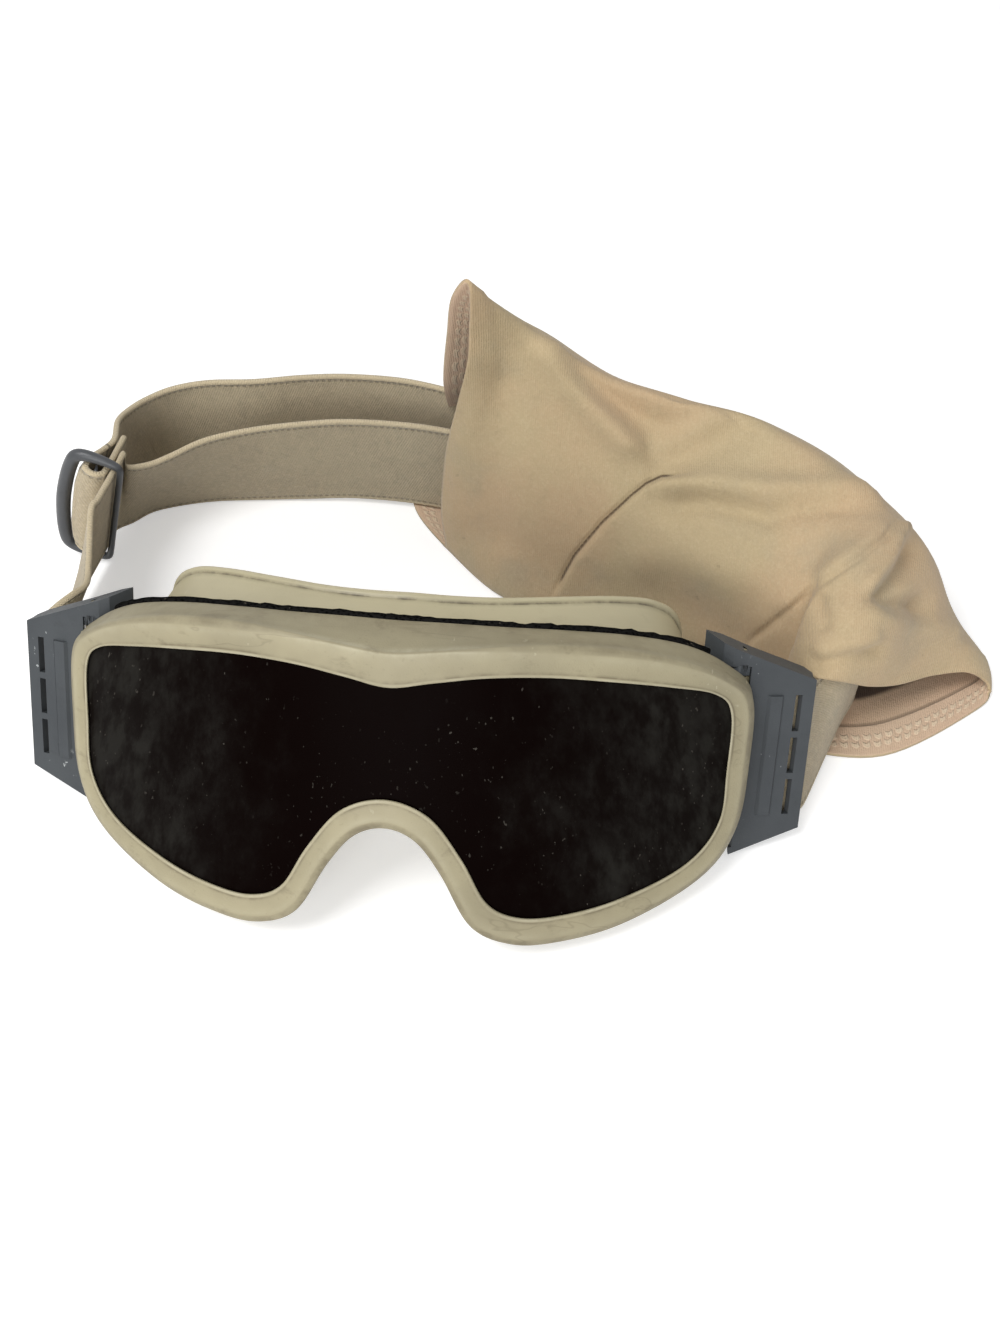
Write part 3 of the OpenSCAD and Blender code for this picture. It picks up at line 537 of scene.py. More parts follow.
def bezelRing(s):
    i, c, u, k = s.opening, s.crease, s.out, front["crown"]
    wide = (c - i).length
    brow = min(1.0, (s.edge - c).length / 3.5)  # 1 where the face meets the sloping brow in a crisp crest
    lower = 1 - brow
    crest, high, low = mix(0.7, 0.93, brow), mix(0.88, 0.8, brow), mix(0.16, 0.4, brow)
    # across the face: share of its width, share of the crown, darkening (painted shade in the groove, grime,
    # and darker on the lower part) and brightening (painted highlight with wear)
    face = [(0.0, 0.36, 0.3, 0.5), (0.02, 0.5, 0, 1), (0.075, 0.56, 0, 0.6), (0.13, 0.53, 0.85, 0),
            (0.18, 0.56, 0.15, 0), (mix(0.18, crest, 0.5), mix(0.6, high, 0.62), 0, 0),
            (crest - 0.08, high * 0.98, 0, 0.3), (crest, high, 0, 0.75 * brow),
            (crest + 0.03, high * 0.97, 0.4 * lower, 0.4 * brow),
            (mix(crest, 1, 0.55), mix(high * 0.74, high * 0.82, brow), 0.7 * lower, 0),
            (mix(crest, 1, 0.85), mix(0.46, 0.62, brow), 0.6 * lower, 0.2 * brow),
            (1.0, low, 0.5 * lower, 0.9 * brow)]
    # from the crease to the rear edge: share of the way, darkening (darker on the lower part, and painted
    # shade towards the rear edge) and brightening (painted highlight with wear)
    slope = [(0.06, 0.6 * lower, 0.6 * brow), (0.14, 0.5 * lower, 0), (0.35, 0.3 * lower, 0),
             (0.6, 0.2, 0), (0.82, 0.3, 0), (0.95, 0.6, 0)]
    thick = front["lensThick"]
    back, seat = i + u * 0.3, i + u * front["grip"]
    behind = [(s.edge, s.depth - 0.15), (s.edge - u * 0.25, s.depth), (i.lerp(s.edge, 0.5), s.depth),
              (back + u * 0.2, s.depth), (back, s.depth - 0.15), (back, thick + 0.3),
              (back + u * 0.1, thick + 0.1), (seat, thick + 0.1), (seat, -0.1)]
    rows = [(i, -0.12, 0, 0)]
    rows += [(i + u * (wide * f), -k * d, *marks) for f, d, *marks in face]
    rows += [(c.lerp(s.edge, t), mix(-k * low, s.depth, t ** 0.95), *marks) for t, *marks in slope]
    rows += [(p, d, 0, 0) for p, d in behind]
    marks = {"grimeAndShade": [r[2] for r in rows], "wearAndHighlight": [r[3] for r in rows]}
    return [wrapped(r[0], r[1]) for r in rows], marks


# Hinge posts at the sides of the bezel, with their pins and the web that joins them to it
hinge = {"x": 81.5, "reach": 11.6, "post": 3.6, "top": 17.4, "low": -19.8,
         "pin": 2.0, "pinLong": 6, "web": 1.9}
hingeY = wrapY(hinge["x"], 0) + hinge["reach"]


def makeBezel():
    bm = bmesh.new()
    rings = [bezelRing(s) for s in stations]
    sweep(bm, [ring for ring, _ in rings], True, [marks for _, marks in rings])
    bezel = finishPiece("bezel", bm, "frame", tanRubber)
    addSubdivision(bezel)
    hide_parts("front_frame")


def makeHingePosts():
    lean = Matrix([[1, 0, 0], [0, cosLean, sinLean], [0, -sinLean, cosLean]]).to_4x4()
    toTable = Matrix.Translation(onTable(0, 0, place["lift"])) @ lean @ Matrix.Scale(0.001, 4)
    tall = hinge["top"] - hinge["low"]
    middle = (hinge["top"] + hinge["low"]) / 2
    deep = hinge["reach"] - front["sideDepth"] - 0.1
    pin, long = hinge["pin"], hinge["pinLong"]
    rods = ((hinge["post"], tall, middle),
            (pin, long, hinge["top"] + long / 2),
            (pin, long, hinge["low"] - long / 2))
    bm = bmesh.new()
    for side in (-1, 1):
        for radius, length, z in rods:
            addRod(bm, radius, length, toTable @ Matrix.Translation((side * hinge["x"], hingeY, z)), 40)
        at = toTable @ Matrix.Translation((side * hinge["x"], hingeY - deep / 2, middle))
        bmesh.ops.create_cube(bm, size=1, matrix=at @ Matrix.Diagonal((hinge["web"] * 2, deep, tall, 1)))
    posts = finishPiece("hingePosts", bm, "frame", tanRubber, angle=35)
    addBevel(posts, 0.0003, 30)


def makeLens():
    bm = bmesh.new()
    outline = [s.opening + s.out * front["lensGrip"] for s in stations]
    bm.faces.new([bm.verts.new((p.x, 0, p.y)) for p in outline])
    for x in range(-80, 81, 2):  # cut into narrow upright strips before it is wrapped
        geom = bm.verts[:] + bm.edges[:] + bm.faces[:]
        bmesh.ops.bisect_plane(bm, geom=geom, dist=0.001, plane_co=(x + 0.5, 0, 0), plane_no=(1, 0, 0))
    thick = bmesh.ops.extrude_face_region(bm, geom=bm.faces[:])
    behind = {v for v in thick["geom"] if isinstance(v, bmesh.types.BMVert)}
    for v in bm.verts:
        v.co = leaned(v.co.x, wrapY(v.co.x, front["lensThick"] if v in behind else 0.0), v.co.z)
    bmesh.ops.recalc_face_normals(bm, faces=bm.faces[:])
    lens = finishPiece("lensSheet", bm, "frame", lensSmoke, angle=40)
    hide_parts("lens")


def flangeRing(s):  # round the wall, its land against the face and the bead of its rim
    v, m, u, w = s.valley, s.rim, s.out, front["wall"]
    n = s.opening + u * s.neck
    f = v.lerp(m, 0.6)
    d = s.depth + 0.1
    y, land = rimY(m), front["land"]

    def at(p, y):
        return leaned(p.x, y, p.y)

    inner = [wrapped(n - u * w, d), wrapped(n - u * w, d + front["vent"]), at(v - u * w, sealY(v, s, 0.45)),
             at(f - u * w, sealY(f, s, 0.74)), at(m - u * (w + 1.2), y - w - 1.4)]
    across = [at(m - u * (land * 0.5), y - w), at(m - u * (land - 0.3), y - w), at(m - u * land, y - w * 0.5),
              at(m - u * (land - 0.3), y), at(m - u * (land * 0.5), y)]
    bead = [at(m - u * 1.3, y), at(m - u * 0.35, y - 0.2), at(m + u * 0.2, y - 1.0), at(m + u * 0.2, y - 2.0),
            at(m - u * 0.35, y - 2.7), at(m - u * 1.5, y - 2.85), at(m - u * 1.2, y - 3.3)]
    outer = [at(m.lerp(f, 0.5) - u * 0.7, mix(y - 2.9, sealY(f, s, 0.78), 0.5)), at(f, sealY(f, s, 0.78)),
             at(v, sealY(v, s, 0.45)), wrapped(n, d + front["vent"] + 0.2), wrapped(n, d)]
    return inner + across + bead + outer


def makeFlange():
    grimeAndShade = [0.0] * 15 + [1.0, 0.35] + [0.0, 0.0, 0.15, 0.5, 0.5]  # painted shade where the bead meets the wall and at the neck by the vent gap
    # painted highlight, with wear, along the top of the bead
    wearAndHighlight = [0.0] * 10 + [0.3, 0.7, 0.8, 0.4] + [0.0] * 8
    bm = bmesh.new()
    sweep(bm, [flangeRing(s) for s in stations], True, [{"grimeAndShade": grimeAndShade, "wearAndHighlight": wearAndHighlight}] * len(stations))
    flange = finishPiece("faceFlange", bm, "frame", creamRubber)
    addSubdivision(flange)
    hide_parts("face_flange")


def faceFoamRing(s):
    m, u, t = s.rim, s.out, front["foam"]
    y = rimY(m) + 0.4
    a, b, c = m - u * 2.6, m - u * (front["land"] + 1), m - u * (front["land"] - 1)

    def at(p, dy):
        return leaned(p.x, y + dy, p.y)

    return [at(a, 0), at(a - u * 0.1, t * 0.4), at(a - u * 0.4, t * 0.75), at(a - u * 1.5, t),
            at(a.lerp(c, 0.5), t * 1.02), at(c + u * 0.5, t), at(c - u * 0.6, t * 0.86),
            at(b + u * 0.2, t * 0.5), at(b, 0)]


# Foam in each vent: node, first and last station, how far it stands proud of the bezel
vents = {"ventTop": ("vent_foam_top", -44, 44, 0.6), "ventRight": ("vent_foam_right", 84, 108, -2.6),
         "ventLeft": ("vent_foam_left", 164, 188, -2.6)}


def ventRing(s, proud):
    u, t = s.out, front["vent"]
    n = s.opening + u * (s.neck + 0.1)
    b = s.edge + u * proud
    d = s.depth + 0.1
    half = n.lerp(b, 0.6)
    wobble = noise.noise(Vector((b.x, b.y, 3)) * 0.4) * 0.35 + noise.noise(Vector((b.x, b.y, 9)) * 1.6) * 0.3
    lip, corner = b + u * wobble, b + u * (wobble - 0.3)
    return [wrapped(n, d), wrapped(n, d + t), wrapped(half, d + t), wrapped(corner, d + t),
            wrapped(lip, d + t * 0.7), wrapped(lip, d + t * 0.3), wrapped(corner, d), wrapped(half, d)]


def makeFoams():
    bm = bmesh.new()
    sweep(bm, [faceFoamRing(s) for s in stations], True)
    pad = finishPiece("faceFoam", bm, "frame", blackFoam)
    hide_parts("face_foam")
    for name, (node, start, stop, proud) in vents.items():
        bm = bmesh.new()
        sweep(bm, [ventRing(stations[k % len(stations)], proud) for k in range(start, stop + 1)], False)
        strip = finishPiece(name, bm, "frame", blackFoam)
        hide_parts(node)


makeBezel()
makeHingePosts()
makeLens()
makeFlange()
makeFoams()
print("front made")


def makeClips():  # they keep the CAD's shape, with their edges broken
    for node, name in (("left_clip", "leftClip"), ("right_clip", "rightClip")):
        addBevel(nodeCopy(node, name, node, slateNylon), 0.00035, 35)


makeClips()
print("clips made")

# Strap: each row is a point of the lower edge and the direction across the width
strap = {"width": 35.5, "thick": 1.8, "gap": 0.3, "edgeRound": 0.7, "loopStep": 20}
# the clip's plate from the hinge: its start, turn, length and thickness, the bar, and the sloping top
clip = {"start": (3.1, -3.4), "turn": 16, "long": 17.7, "thick": 2.4, "barAt": 16.7, "bar": 1.6,
        "top": 27.4, "slope": 0.383, "slopeFrom": -8.5, "toMiddle": 20}
plateTurn = math.radians(clip["turn"])
plateDir = Vector((math.cos(plateTurn), math.sin(plateTurn)))
plateBack = Vector((-plateDir.y, plateDir.x))
barBack = clip["thick"] + strap["gap"] + strap["thick"] + clip["bar"] + strap["gap"]
barSpot = Vector(clip["start"]) + plateDir * clip["barAt"] + plateBack * barBack
plateEnd = Vector(clip["start"]) + plateDir * clip["long"]
strapMiddle = clip["top"] - clip["slope"] * (plateEnd.x - clip["slopeFrom"]) - clip["toMiddle"]
loopRadius = clip["bar"] + strap["gap"] + strap["thick"] / 2
upClip = Vector((0, sinLean, cosLean))

# The slider: its place, the ways along and across the strap, and its round bars
slider = {"spot": (-101.4, 101.3, 21.6), "go": (0.09, 0.996, 0), "up": (0.31, -0.028, 0.95),
          "bar": 1.5, "barLong": 40}
sliderSpot = Vector(slider["spot"])
sliderGo = Vector(slider["go"]).normalized()
sliderUp = Vector(slider["up"]).normalized()
sliderIn = sliderGo.cross(sliderUp)
spine = -(strap["thick"] / 2 + strap["gap"] * 2 + strap["thick"] + slider["bar"])


def clipRow(side, dx, dy, wide=None):  # a row given from the clip's bar
    wide = Vector(wide).normalized() if wide else upClip
    x = side * (hinge["x"] + barSpot.x + dx)
    y = hingeY + barSpot.y + dy
    z = strapMiddle
    middle = Vector((x, y * cosLean + z * sinLean, place["lift"] + z * cosLean - y * sinLean))
    return (*(middle - wide * strap["width"] / 2), *wide)


def row(x, y, z, wide):
    return (x, y, z, *Vector(wide).normalized())


def sliderRow(t, n):
    p = sliderSpot + sliderGo * t + sliderIn * n - sliderUp * strap["width"] / 2
    return (*p, *sliderUp)


def loopRows(side):  # the half turn round the clip's bar
    turns = [math.radians(a) for a in range(-180, 1, strap["loopStep"])]
    around = [clipRow(side, loopRadius * math.cos(t), loopRadius * math.sin(t)) for t in turns]
    return [clipRow(side, -0.9, 3.4)] + around + [clipRow(side, loopRadius, 2)]


tailRows = [clipRow(-1, 5, 7.4, (0.04, 0.63, 0.77)), row(-107, 45, 1, (0.3, 0.4, 0.86)),
            row(-109.3, 57, 1.7, (0.46, 0.14, 0.88)), row(-110.5, 70, 3, (0.47, -0.05, 0.88)),
            sliderRow(-16, 0), sliderRow(-11, 0), sliderRow(-5, 0)]
frontRows = [
    sliderRow(0, 0), sliderRow(4.5, 0), sliderRow(9, 0), row(-103, 117.5, 2.2, (0.24, -0.28, 0.93)),
    row(-98.5, 124.5, 0.9, (0.26, -0.36, 0.9)), row(-90, 129, 0.4, (0.18, -0.36, 0.92)),
    row(-79, 132, 0.4, (0.1, -0.28, 0.955)), row(-65, 134, 0.4, (0.04, -0.2, 0.98)),
    row(-50, 135.5, 0.8, (0, -0.15, 0.99)), row(-34, 136.5, 1.6, (0, -0.12, 0.99)),
    row(-14, 135.5, 1.9, (0, -0.1, 1)), row(4, 132, 1.9, (0, -0.08, 1)), row(28, 125, 1.9, (0, -0.05, 1)),
    row(54, 114.5, 1.9, (0, 0, 1)), row(78, 102, 1.9, (0, 0, 1)), row(98, 90, 2, (0, 0, 1)),
    row(110.5, 79, 2.2, (0, 0, 1)), row(114, 68.5, 2.4, (0, 0, 1)), row(109, 57, 2.5, (0.04, 0.2, 0.98)),
    row(105.2, 46, 2.1, (0.07, 0.5, 0.86)), clipRow(1, 4.2, 12, (0.11, 0.78, 0.61))]
rearRows = [
    row(-108.5, 124, 3.2, (0.2, 0.02, 0.98)), row(-107.5, 134, 1.8, (0.2, -0.06, 0.97)),
    row(-102.5, 142, 0.8, (0.16, -0.1, 0.98)), row(-93, 147, 0.4, (0.08, -0.08, 1)),
    row(-80, 149.5, 0.3, (0, -0.04, 1)), row(-66, 151, 0.3, (0, -0.03, 1)), row(-51, 154, 0.5, (0, -0.02, 1)),
    row(-36, 155, 1.2, (0, -0.02, 1)), row(-18, 153.5, 1.9, (0, -0.02, 1)), row(0, 149, 1.9, (0, -0.02, 1)),
    row(24, 141, 1.9, (0, 0, 1)),
    row(50, 131, 1.9, (0, 0, 1)), row(76, 118, 1.9, (0, 0, 1)), row(98, 103.5, 1.9, (0, 0, 1)),
    row(111.5, 93, 2, (0, 0, 1)), row(119, 81, 2.2, (0, 0, 1)), row(119.5, 69, 2.4, (0, 0, 1)),
    row(114.2, 57, 2.6, (0.06, 0.18, 0.98)), row(109.4, 45, 2.2, (0.11, 0.45, 0.88)),
    clipRow(1, 5.2, 6.2, (0.03, 0.66, 0.75))]
frontSplit, rearSplit = 12, 9  # the rows inside the sleeve where one piece meets the next


def makeRibbon(name, rows, startAt=0.0, bulge=None):
    rows = curveThrough(rows, 6)
    middles = [Vector(r[:3]) + Vector(r[3:]).normalized() * strap["width"] / 2 for r in rows]
    w, t, rnd = strap["width"] / 2, strap["thick"] / 2, strap["edgeRound"]
    side = [(-w, 0), (-w + 0.12, t * 0.62), (-w + rnd, t), (-w + 1.6, t * 0.8), (-w + 4, t * 0.86),
            (-w * 0.45, t * 0.92), (0, t * 0.94)]
    half = side + [(-a, b) for a, b in side[-2::-1]]
    profile = half + [(a, -b) for a, b in half[-2:0:-1]]
    rings, marks, run = [], [], startAt
    for k, r in enumerate(rows):
        wide = Vector(r[3:]).normalized()
        go = (middles[min(k + 1, len(rows) - 1)] - middles[max(k - 1, 0)]).normalized()
        out = go.cross(wide).normalized()
        if k:
            run += (middles[k] - middles[k - 1]).length
        belly = bulge(k / (len(rows) - 1)) if bulge else Vector()
        ring = [middles[k] + wide * a + out * b + belly * (1 - (a / w) ** 4) for a, b in profile]
        rings.append([onTable(*p) for p in ring])
        marks.append({"along": [run / 1000] * len(profile), "across": [a / 1000 for a, b in profile]})
    bm = bmesh.new()
    sweep(bm, rings, False, marks)
    return finishPiece(name, bm, None, strapWeave), run


def makeStrap():
    leftRows = [clipRow(-1, -0.9, 3.4), clipRow(-1, -1.9, 1.6)] + loopRows(-1)[1:] + tailRows
    left, run = makeRibbon("strapLeft", leftRows + frontRows[:frontSplit + 1])
    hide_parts("strap_tail", "left_strap_loop")
    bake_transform(left)
    rightRows = frontRows[frontSplit:] + loopRows(1) + rearRows[:rearSplit - 1:-1]
    right, _ = makeRibbon("strapRight", rightRows, run)
    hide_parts("strap_front_run", "right_strap_loop")
    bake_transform(right)


# The sewn fold round the slider's middle bar: how much fuller it is at its turn, and which row that is
sewn = {"full": 2.7, "turnRow": 10.5, "spread": 4}


def makeSewnEnd():
    r = slider["bar"] + strap["gap"] + strap["thick"] / 2
    turns = [math.radians(a) for a in range(160, 19, -20)]
    rows = [sliderRow(15, spine + 2.5), sliderRow(9, spine + 2.6)]  # the cut end lies inside
    rows += [sliderRow(3, spine + r)]
    rows += [sliderRow(-r * math.sin(t), spine - r * math.cos(t)) for t in turns]
    rows += [sliderRow(3, spine - r * 0.9), sliderRow(8, spine - 0.5), sliderRow(13, spine + 0.5)]
    rows += rearRows[:rearSplit + 1]

    def belly(t):
        away = abs(t * (len(rows) - 1) - sewn["turnRow"])
        return sliderIn * (-sewn["full"] * max(0.0, 1 - away / sewn["spread"]))

    rear, _ = makeRibbon("strapRear", rows, strapLook["seamStart"] * 1000, belly)
    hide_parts("strap_rear_run", "strap_sewn_end")
    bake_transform(rear)


makeStrap()
makeSewnEnd()
print("strap made")


# Slider: one loop from the slim keeper bar round to the thick bow, and the bar in the sewn fold
def makeSlider():
    # depth from the strap, height and radius, up the far half of the loop
    half = [(2.2, 0, 1.0), (2.2, 10, 1.0), (2.2, 16.5, 1.0), (1.6, 19.6, 1.2), (-1.2, 20.4, 1.4),
            (-4.6, 20.5, 1.6), (-8.2, 20.2, 1.8), (-10.9, 18.8, 2.0), (-12.1, 15.5, 2.15), (-13.1, 9, 2.2),
            (-13.6, 0, 2.25)]
    path = curveThrough(half + [(n, -v, r) for n, v, r in half[-2:0:-1]], 6, True)
    turn = Matrix((sliderGo, sliderIn, sliderUp)).transposed().to_4x4()
    toTable = Matrix.Translation(onTable(*sliderSpot)) @ turn @ Matrix.Scale(0.001, 4)
    turns = [math.radians(30 * j) for j in range(12)]
    rings = []
    for k, (n, v, r) in enumerate(path):
        a, b = path[k - 1], path[(k + 1) % len(path)]
        side = Vector((0, b[1] - a[1], a[0] - b[0])).normalized()
        circle = [Vector((r * math.cos(t), 0, 0)) + side * (r * math.sin(t)) for t in turns]
        rings.append([toTable @ (Vector((0, n, v)) + p) for p in circle])
    bm = bmesh.new()
    sweep(bm, rings, True)
    addRod(bm, slider["bar"], slider["barLong"], toTable @ Matrix.Translation((0, spine, 0)), 24)
    piece = finishPiece("strapSlider", bm, "slider", darkNylon, angle=40)
    addSubdivision(piece)
    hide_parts("slider")


makeSlider()
print("slider made")

# Sleeve: a cloth tube standing up like a tent; each ring goes up the front and down the rear
sleeve = {"cloth": 1.0, "flatWide": 0.2, "fineAlong": 12, "fineRound": 9, "floor": 0.15, "hem": 0.009,
          "hemRise": 0.0005, "crisp": 1.35, "fadeAtEnds": 0.12, "lapReach": 55, "hollowReach": 85,
          "brimFade": 26, "sharpBelow": 5, "fineReach": (16, 9)}
sleeveRings = [
    [(-3, 118, 0), (-3.2, 121, 17), (-1, 122, 38), (3, 119, 58), (6, 115.8, 77), (7, 113, 99.5),
     (2, 117.5, 92), (-0.5, 124, 76), (-4, 136, 49), (-5, 156, 22), (-6, 163, 0), (-16, 139, 0)],
    [(18, 98, 0), (19, 103, 20), (18, 109, 42), (18, 115, 60), (19, 119, 73), (21, 122, 80),
     (25, 130, 74), (27, 143, 57), (26, 154, 37), (22, 161, 17), (17, 163, 0), (12, 133, 0)],
    [(45, 93, 0), (45, 95, 17), (43, 102, 36), (43, 111, 50), (42, 117, 60), (43, 122, 66),
     (47, 129, 61), (50, 138, 50), (51, 147, 33), (49, 152, 15), (47, 153, 0), (42, 124, 0)],
    [(70, 84, 0), (69, 87, 16), (66, 93, 33), (65, 104, 44), (64, 114, 54), (64, 121, 60),
     (68, 127, 56), (73, 134, 46), (76, 139, 30), (77, 142, 13), (76, 142, 0), (70, 113, 0)],
    [(89, 69, 0), (89, 73, 16), (87, 82, 34), (85, 97, 45), (84, 110, 52), (85, 118, 57),
     (91, 123, 53), (98, 128, 43), (103, 130, 28), (105, 131, 12), (104, 131, 0), (93, 100, 0)],
    [(99, 62, 0), (100, 66, 16), (101, 75, 34), (103, 87, 45), (104, 98, 50), (106, 107, 53),
     (112, 111, 49), (119, 114, 40), (124, 116, 26), (126, 117, 11), (125, 117, 0), (107, 88, 0)],
    [(98, 60, 0), (98.5, 61, 16), (100.5, 68, 34), (107, 74, 45), (115, 79, 48.5), (124, 85, 47),
     (132, 90, 41), (138, 94, 32), (142, 98, 20), (144, 99, 8), (142, 98, 0), (118, 76, 0)],
    [(97.5, 59.5, 0), (97.5, 60, 15), (99.5, 61, 29), (104, 60, 38), (113, 60, 42), (122.5, 63, 37),
     (131, 70, 27), (141, 76, 19), (150.5, 81, 13), (156, 84, 7), (155, 81, 0), (125, 60, 0)],
    [(101, 50, 0.2), (97.5, 56, 13), (99, 56.5, 25), (103, 51.2, 29), (110.5, 52, 27.5), (119.5, 57.5, 20),
     (128.5, 63.8, 14), (140, 71, 11), (151, 75, 8.2), (158, 74.5, 3), (154.5, 68.2, 0.3), (127, 49.5, 0.2)]]
# Folds: kind, height in mm, width in pixels of the photograph, and the line of pixels that each follows
lapLine = [(661, 476), (646, 483), (631, 495), (600, 525), (573, 558), (550, 600)]
folds = [
    ("lap", 1.5, 3.0, [(700, 474), (685, 475)] + lapLine),
    ("notch", 1.5, 2.4, [(690, 474)] + lapLine),
    ("hollow", 5.5, 16, [(756, 398), (648, 462), (638, 452), (608, 421), (569, 383), (536, 336)]),
    ("ridge", 2.2, 15, [(536, 336), (569, 385), (608, 425), (642, 458)]),
    ("notch", 2.4, 18, [(640, 466), (692, 452), (735, 432), (757, 410)]),
    ("ridge", 2.6, 15, [(650, 482), (700, 484), (760, 490), (800, 492), (850, 492), (905, 505)]),
    ("notch", 2.4, 11, [(644, 494), (669, 506), (708, 502), (746, 508), (769, 517), (790, 508), (823, 503),
                        (862, 502), (900, 508)]),
    ("notch", 0.9, 4.2, [(900, 516), (885, 537), (862, 556), (823, 583), (785, 614), (742, 648)]),
    ("ridge", 1.3, 14, [(893, 512), (873, 540), (850, 556), (811, 583), (773, 614)]),
    ("ridge", 2.2, 9, [(911, 518), (892, 558), (867, 591)]),
    ("notch", 3.2, 15, [(925, 530), (905, 570), (885, 596), (905, 606), (935, 612)]),
    ("ridge", 1.6, 11, [(867, 600), (890, 614), (925, 626), (965, 634)]),
    ("notch", 1.6, 9, [(808, 668), (831, 660), (862, 658), (888, 648)]),
    ("ridge", 1.2, 10, [(812, 652), (835, 645), (865, 640), (885, 634)]),
    ("notch", 0.9, 8, [(817, 592), (821, 612), (826, 632)]),
    ("ridge", 1.2, 18, [(478, 330), (474, 400), (466, 470), (462, 540)]),
    ("notch", 1.0, 16, [(505, 360), (500, 430), (492, 500), (500, 560)]),
    ("ridge", 1.1, 22, [(620, 560), (680, 555), (730, 575), (770, 570)])]
# the sleeve's upper outline
brimLine = [(500, 305), (527, 337), (620, 380), (680, 403), (757, 410), (820, 450)]


def nearLine(line, x, y):  # signed distance to a line of pixels, and how far along it
    total = sum(math.dist(a, b) for a, b in zip(line, line[1:]))
    best, run = (1e9, 0.0), 0.0
    for (ax, ay), (bx, by) in zip(line, line[1:]):
        length = math.dist((ax, ay), (bx, by))
        t = min(max(((x - ax) * (bx - ax) + (y - ay) * (by - ay)) / length ** 2, 0), 1)
        d = math.hypot(x - ax - t * (bx - ax), y - ay - t * (by - ay))
        if d < abs(best[0]):
            side = (bx - ax) * (y - ay) - (by - ay) * (x - ax)
            best = (math.copysign(d, side), (run + t * length) / total)
        run += length
    return best


def foldHeight(x, y):  # how far the cloth stands out at a pixel, in mm, and how much painted shade it takes in a narrow crease
    rise, deep = 0.0, 0.0
    for kind, height, width, line in folds:
        d, t = nearLine(line, x, y)
        ends = min(1, t / sleeve["fadeAtEnds"], (1 - t) / sleeve["fadeAtEnds"])
        bell = math.exp(-(d / width) ** 2)
        if kind == "ridge":
            rise += height * sleeve["crisp"] * ends * bell
        elif kind == "notch":
            rise -= height * sleeve["crisp"] * ends * bell
            if width < sleeve["sharpBelow"]:  # narrow enough to take painted shade
                deep = max(deep, ends * bell * (1 if width < 3 else 0.55))
        elif kind == "lap":
            rise += height * ends * math.tanh(-d / width) * math.exp(-abs(d) / sleeve["lapReach"])
        elif d > 0:  # a hollow lies on one side of its line, and fades out at the brim
            brim = min(1, abs(nearLine(brimLine, x, y)[0]) / sleeve["brimFade"])
            rise -= height * brim * (1 - bell) * math.exp(-(d / sleeve["hollowReach"]) ** 2)
    return rise, deep


def foldCloth(bm):  # finer mesh along the sharp folds, then every fold raised or pressed in, and the crease mark set for the painted shade in narrow creases
    bm.normal_update()
    sharp = [line for kind, height, width, line in folds if width < sleeve["sharpBelow"]]
    for reach in sleeve["fineReach"]:
        near = set()
        for v in bm.verts:
            x, y = photoSpot(v.co)
            if v.normal.dot(eye - v.co) > 0 and min(abs(nearLine(line, x, y)[0]) for line in sharp) < reach:
                near.add(v)
        edges = [e for e in bm.edges if e.verts[0] in near and e.verts[1] in near]
        bmesh.ops.subdivide_edges(bm, edges=edges, cuts=1, use_grid_fill=True)
        bm.normal_update()
    crease = bm.verts.layers.float.new("crease")
    shift = {}
    for v in bm.verts:
        facing = v.normal.dot((eye - v.co).normalized())
        show = min(max(facing * 3 - 0.25, 0), 1)
        wave = noise.noise(v.co * 26) * 1.1 + noise.noise(v.co * 60 + Vector((3, 1, 4))) * 0.45
        rise, deep = foldHeight(*photoSpot(v.co)) if show else (0.0, 0.0)
        v[crease] = deep * show
        low = min(max(v.co.z / 0.006, 0), 1)  # the cloth that rests on the table stays there
        shift[v] = v.normal * (rise * show + wave * 0.7) * low / 1000
    for v, by in shift.items():
        v.co += by


def raiseHem(bm):  # the turned hem is a little thicker
    left, right = bm.verts.layers.float.get("fromLeft"), bm.verts.layers.float.get("fromRight")
    bm.normal_update()
    for v, normal in [(v, v.normal.copy()) for v in bm.verts]:
        if v.co.z > 0.002:
            inHem = (sleeve["hem"] - min(v[left], v[right])) / 0.0012
            v.co += normal * sleeve["hemRise"] * min(max(inHem, 0), 1)


def makeSleeve():
    across = [curveThrough(ring, sleeve["fineRound"], True) for ring in sleeveRings]
    across = [[value for p in ring for value in p] for ring in across]
    rings = []
    for r in curveThrough(across, sleeve["fineAlong"]):
        rings.append([onTable(r[k], r[k + 1], max(r[k + 2], sleeve["floor"])) for k in range(0, len(r), 3)])
    count = len(rings[0])
    fromStart = [[0.0] * count]
    for a, b in zip(rings, rings[1:]):
        fromStart.append([far + (q - p).length for far, p, q in zip(fromStart[-1], a, b)])
    around, run = [], 0.0
    for k in range(count):
        around.append(run)
        run += (rings[-1][(k + 1) % count] - rings[-1][k]).length
    bm = bmesh.new()
    for name in ("fromLeft", "fromRight", "around"):
        bm.verts.layers.float.new(name)
    made = []
    for ring, far in zip(rings, fromStart):
        fromRight = [end - f for end, f in zip(fromStart[-1], far)]
        made.append(addRing(bm, ring, {"fromLeft": far, "fromRight": fromRight, "around": around}))
    for a, b in zip(made, made[1:]):
        bmesh.ops.bridge_loops(bm, edges=a + b)
    bmesh.ops.recalc_face_normals(bm, faces=bm.faces[:])
    foldCloth(bm)
    raiseHem(bm)
    area = sum(f.calc_area() for f in bm.faces)
    tube = finishPiece("sleeveCloth", bm, "sleeve", clothOuter)
    thick = tube.modifiers.new("cloth", "SOLIDIFY")
    thick.thickness = sleeve["cloth"] / 1000
    thick.offset = -1
    thick.material_offset = 1
    tube.data.materials.append(clothInner)
    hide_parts("sleeve")
    print("sleeve cloth area", round(area, 4), "faces", len(tube.data.polygons))


makeSleeve()
print("sleeve made")

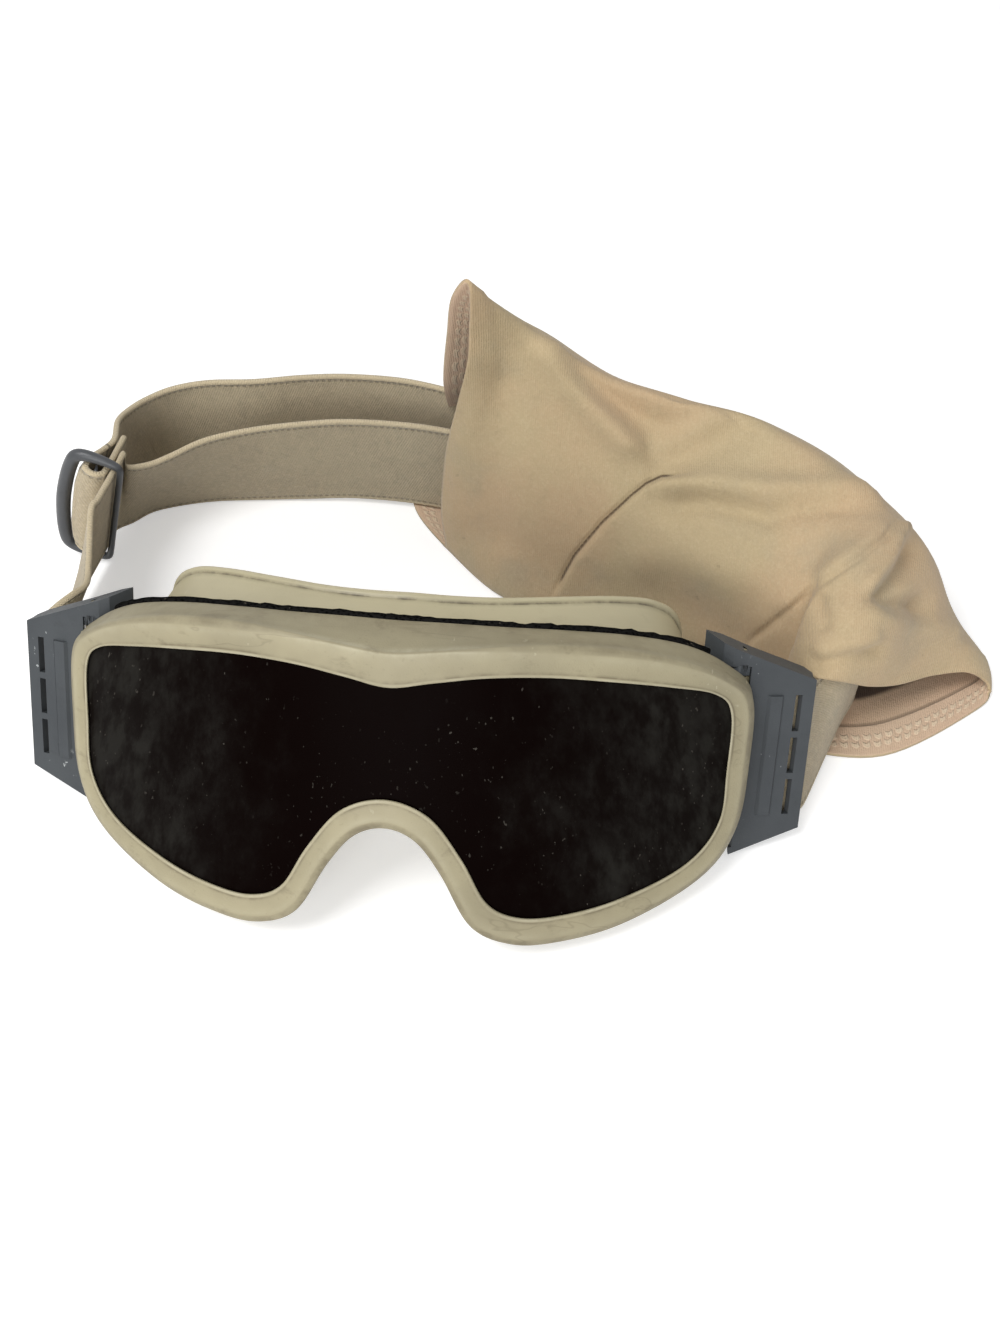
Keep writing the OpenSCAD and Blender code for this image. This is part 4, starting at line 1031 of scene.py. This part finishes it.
# Stage: a pale floor, white backdrop and soft studio lamps, each with its place, size and power
stage = {"floorSize": 9, "floorDrop": 0.0002, "floorGlow": 0.4, "light": 0.45, "seenMore": 0.55,
         "aim": (0, 0, 0.03)}
lamps = {"keyLamp": ((-0.42, -0.4, 1.08), 0.5, 7.6), "fillLamp": ((-0.15, -1.1, 0.5), 0.8, 7.0)}


def seenRays(tree):  # 1 for what the camera sees, by itself or mirrored or through glass
    path = addNode(tree, "LightPath").outputs
    others = maths(tree, "MAXIMUM", path["Is Glossy Ray"], path["Is Transmission Ray"])
    return maths(tree, "MAXIMUM", path["Is Camera Ray"], others)


def makeFloor():
    bm = bmesh.new()
    bmesh.ops.create_grid(bm, x_segments=1, y_segments=1, size=stage["floorSize"])
    mesh = bpy.data.meshes.new("floor")
    bm.to_mesh(mesh)
    bm.free()
    floor = bpy.data.objects.new("floor", mesh)
    floor.location.z = -stage["floorDrop"]
    bpy.context.scene.collection.objects.link(floor)
    material, tree, shader = newMaterial("paleFloor")
    setShader(tree, shader, (0.82, 0.82, 0.82), 0.9, 0.1)
    feed(tree, shader.inputs["Emission Color"], (1, 1, 1))
    feed(tree, shader.inputs["Emission Strength"], times(tree, seenRays(tree), stage["floorGlow"]))
    mesh.materials.append(material)


def makeLight():
    world = bpy.data.worlds.new("studio")
    world.use_nodes = True
    bpy.context.scene.world = world
    tree = world.node_tree
    back = tree.nodes["Background"]
    back.inputs["Color"].default_value = (1, 1, 1, 1)
    strength = scaled(tree, seenRays(tree), stage["seenMore"], stage["light"])
    tree.links.new(strength, back.inputs["Strength"])
    for name, (spot, size, power) in lamps.items():
        data = bpy.data.lights.new(name, "AREA")
        data.shape = "DISK"
        data.size = size
        data.energy = power
        lamp = bpy.data.objects.new(name, data)
        lamp.location = spot
        lamp.rotation_euler = (Vector(stage["aim"]) - Vector(spot)).to_track_quat("-Z", "Y").to_euler()
        bpy.context.scene.collection.objects.link(lamp)
    bpy.context.scene.view_settings.view_transform = "Standard"


makeFloor()
makeLight()
print("stage made")
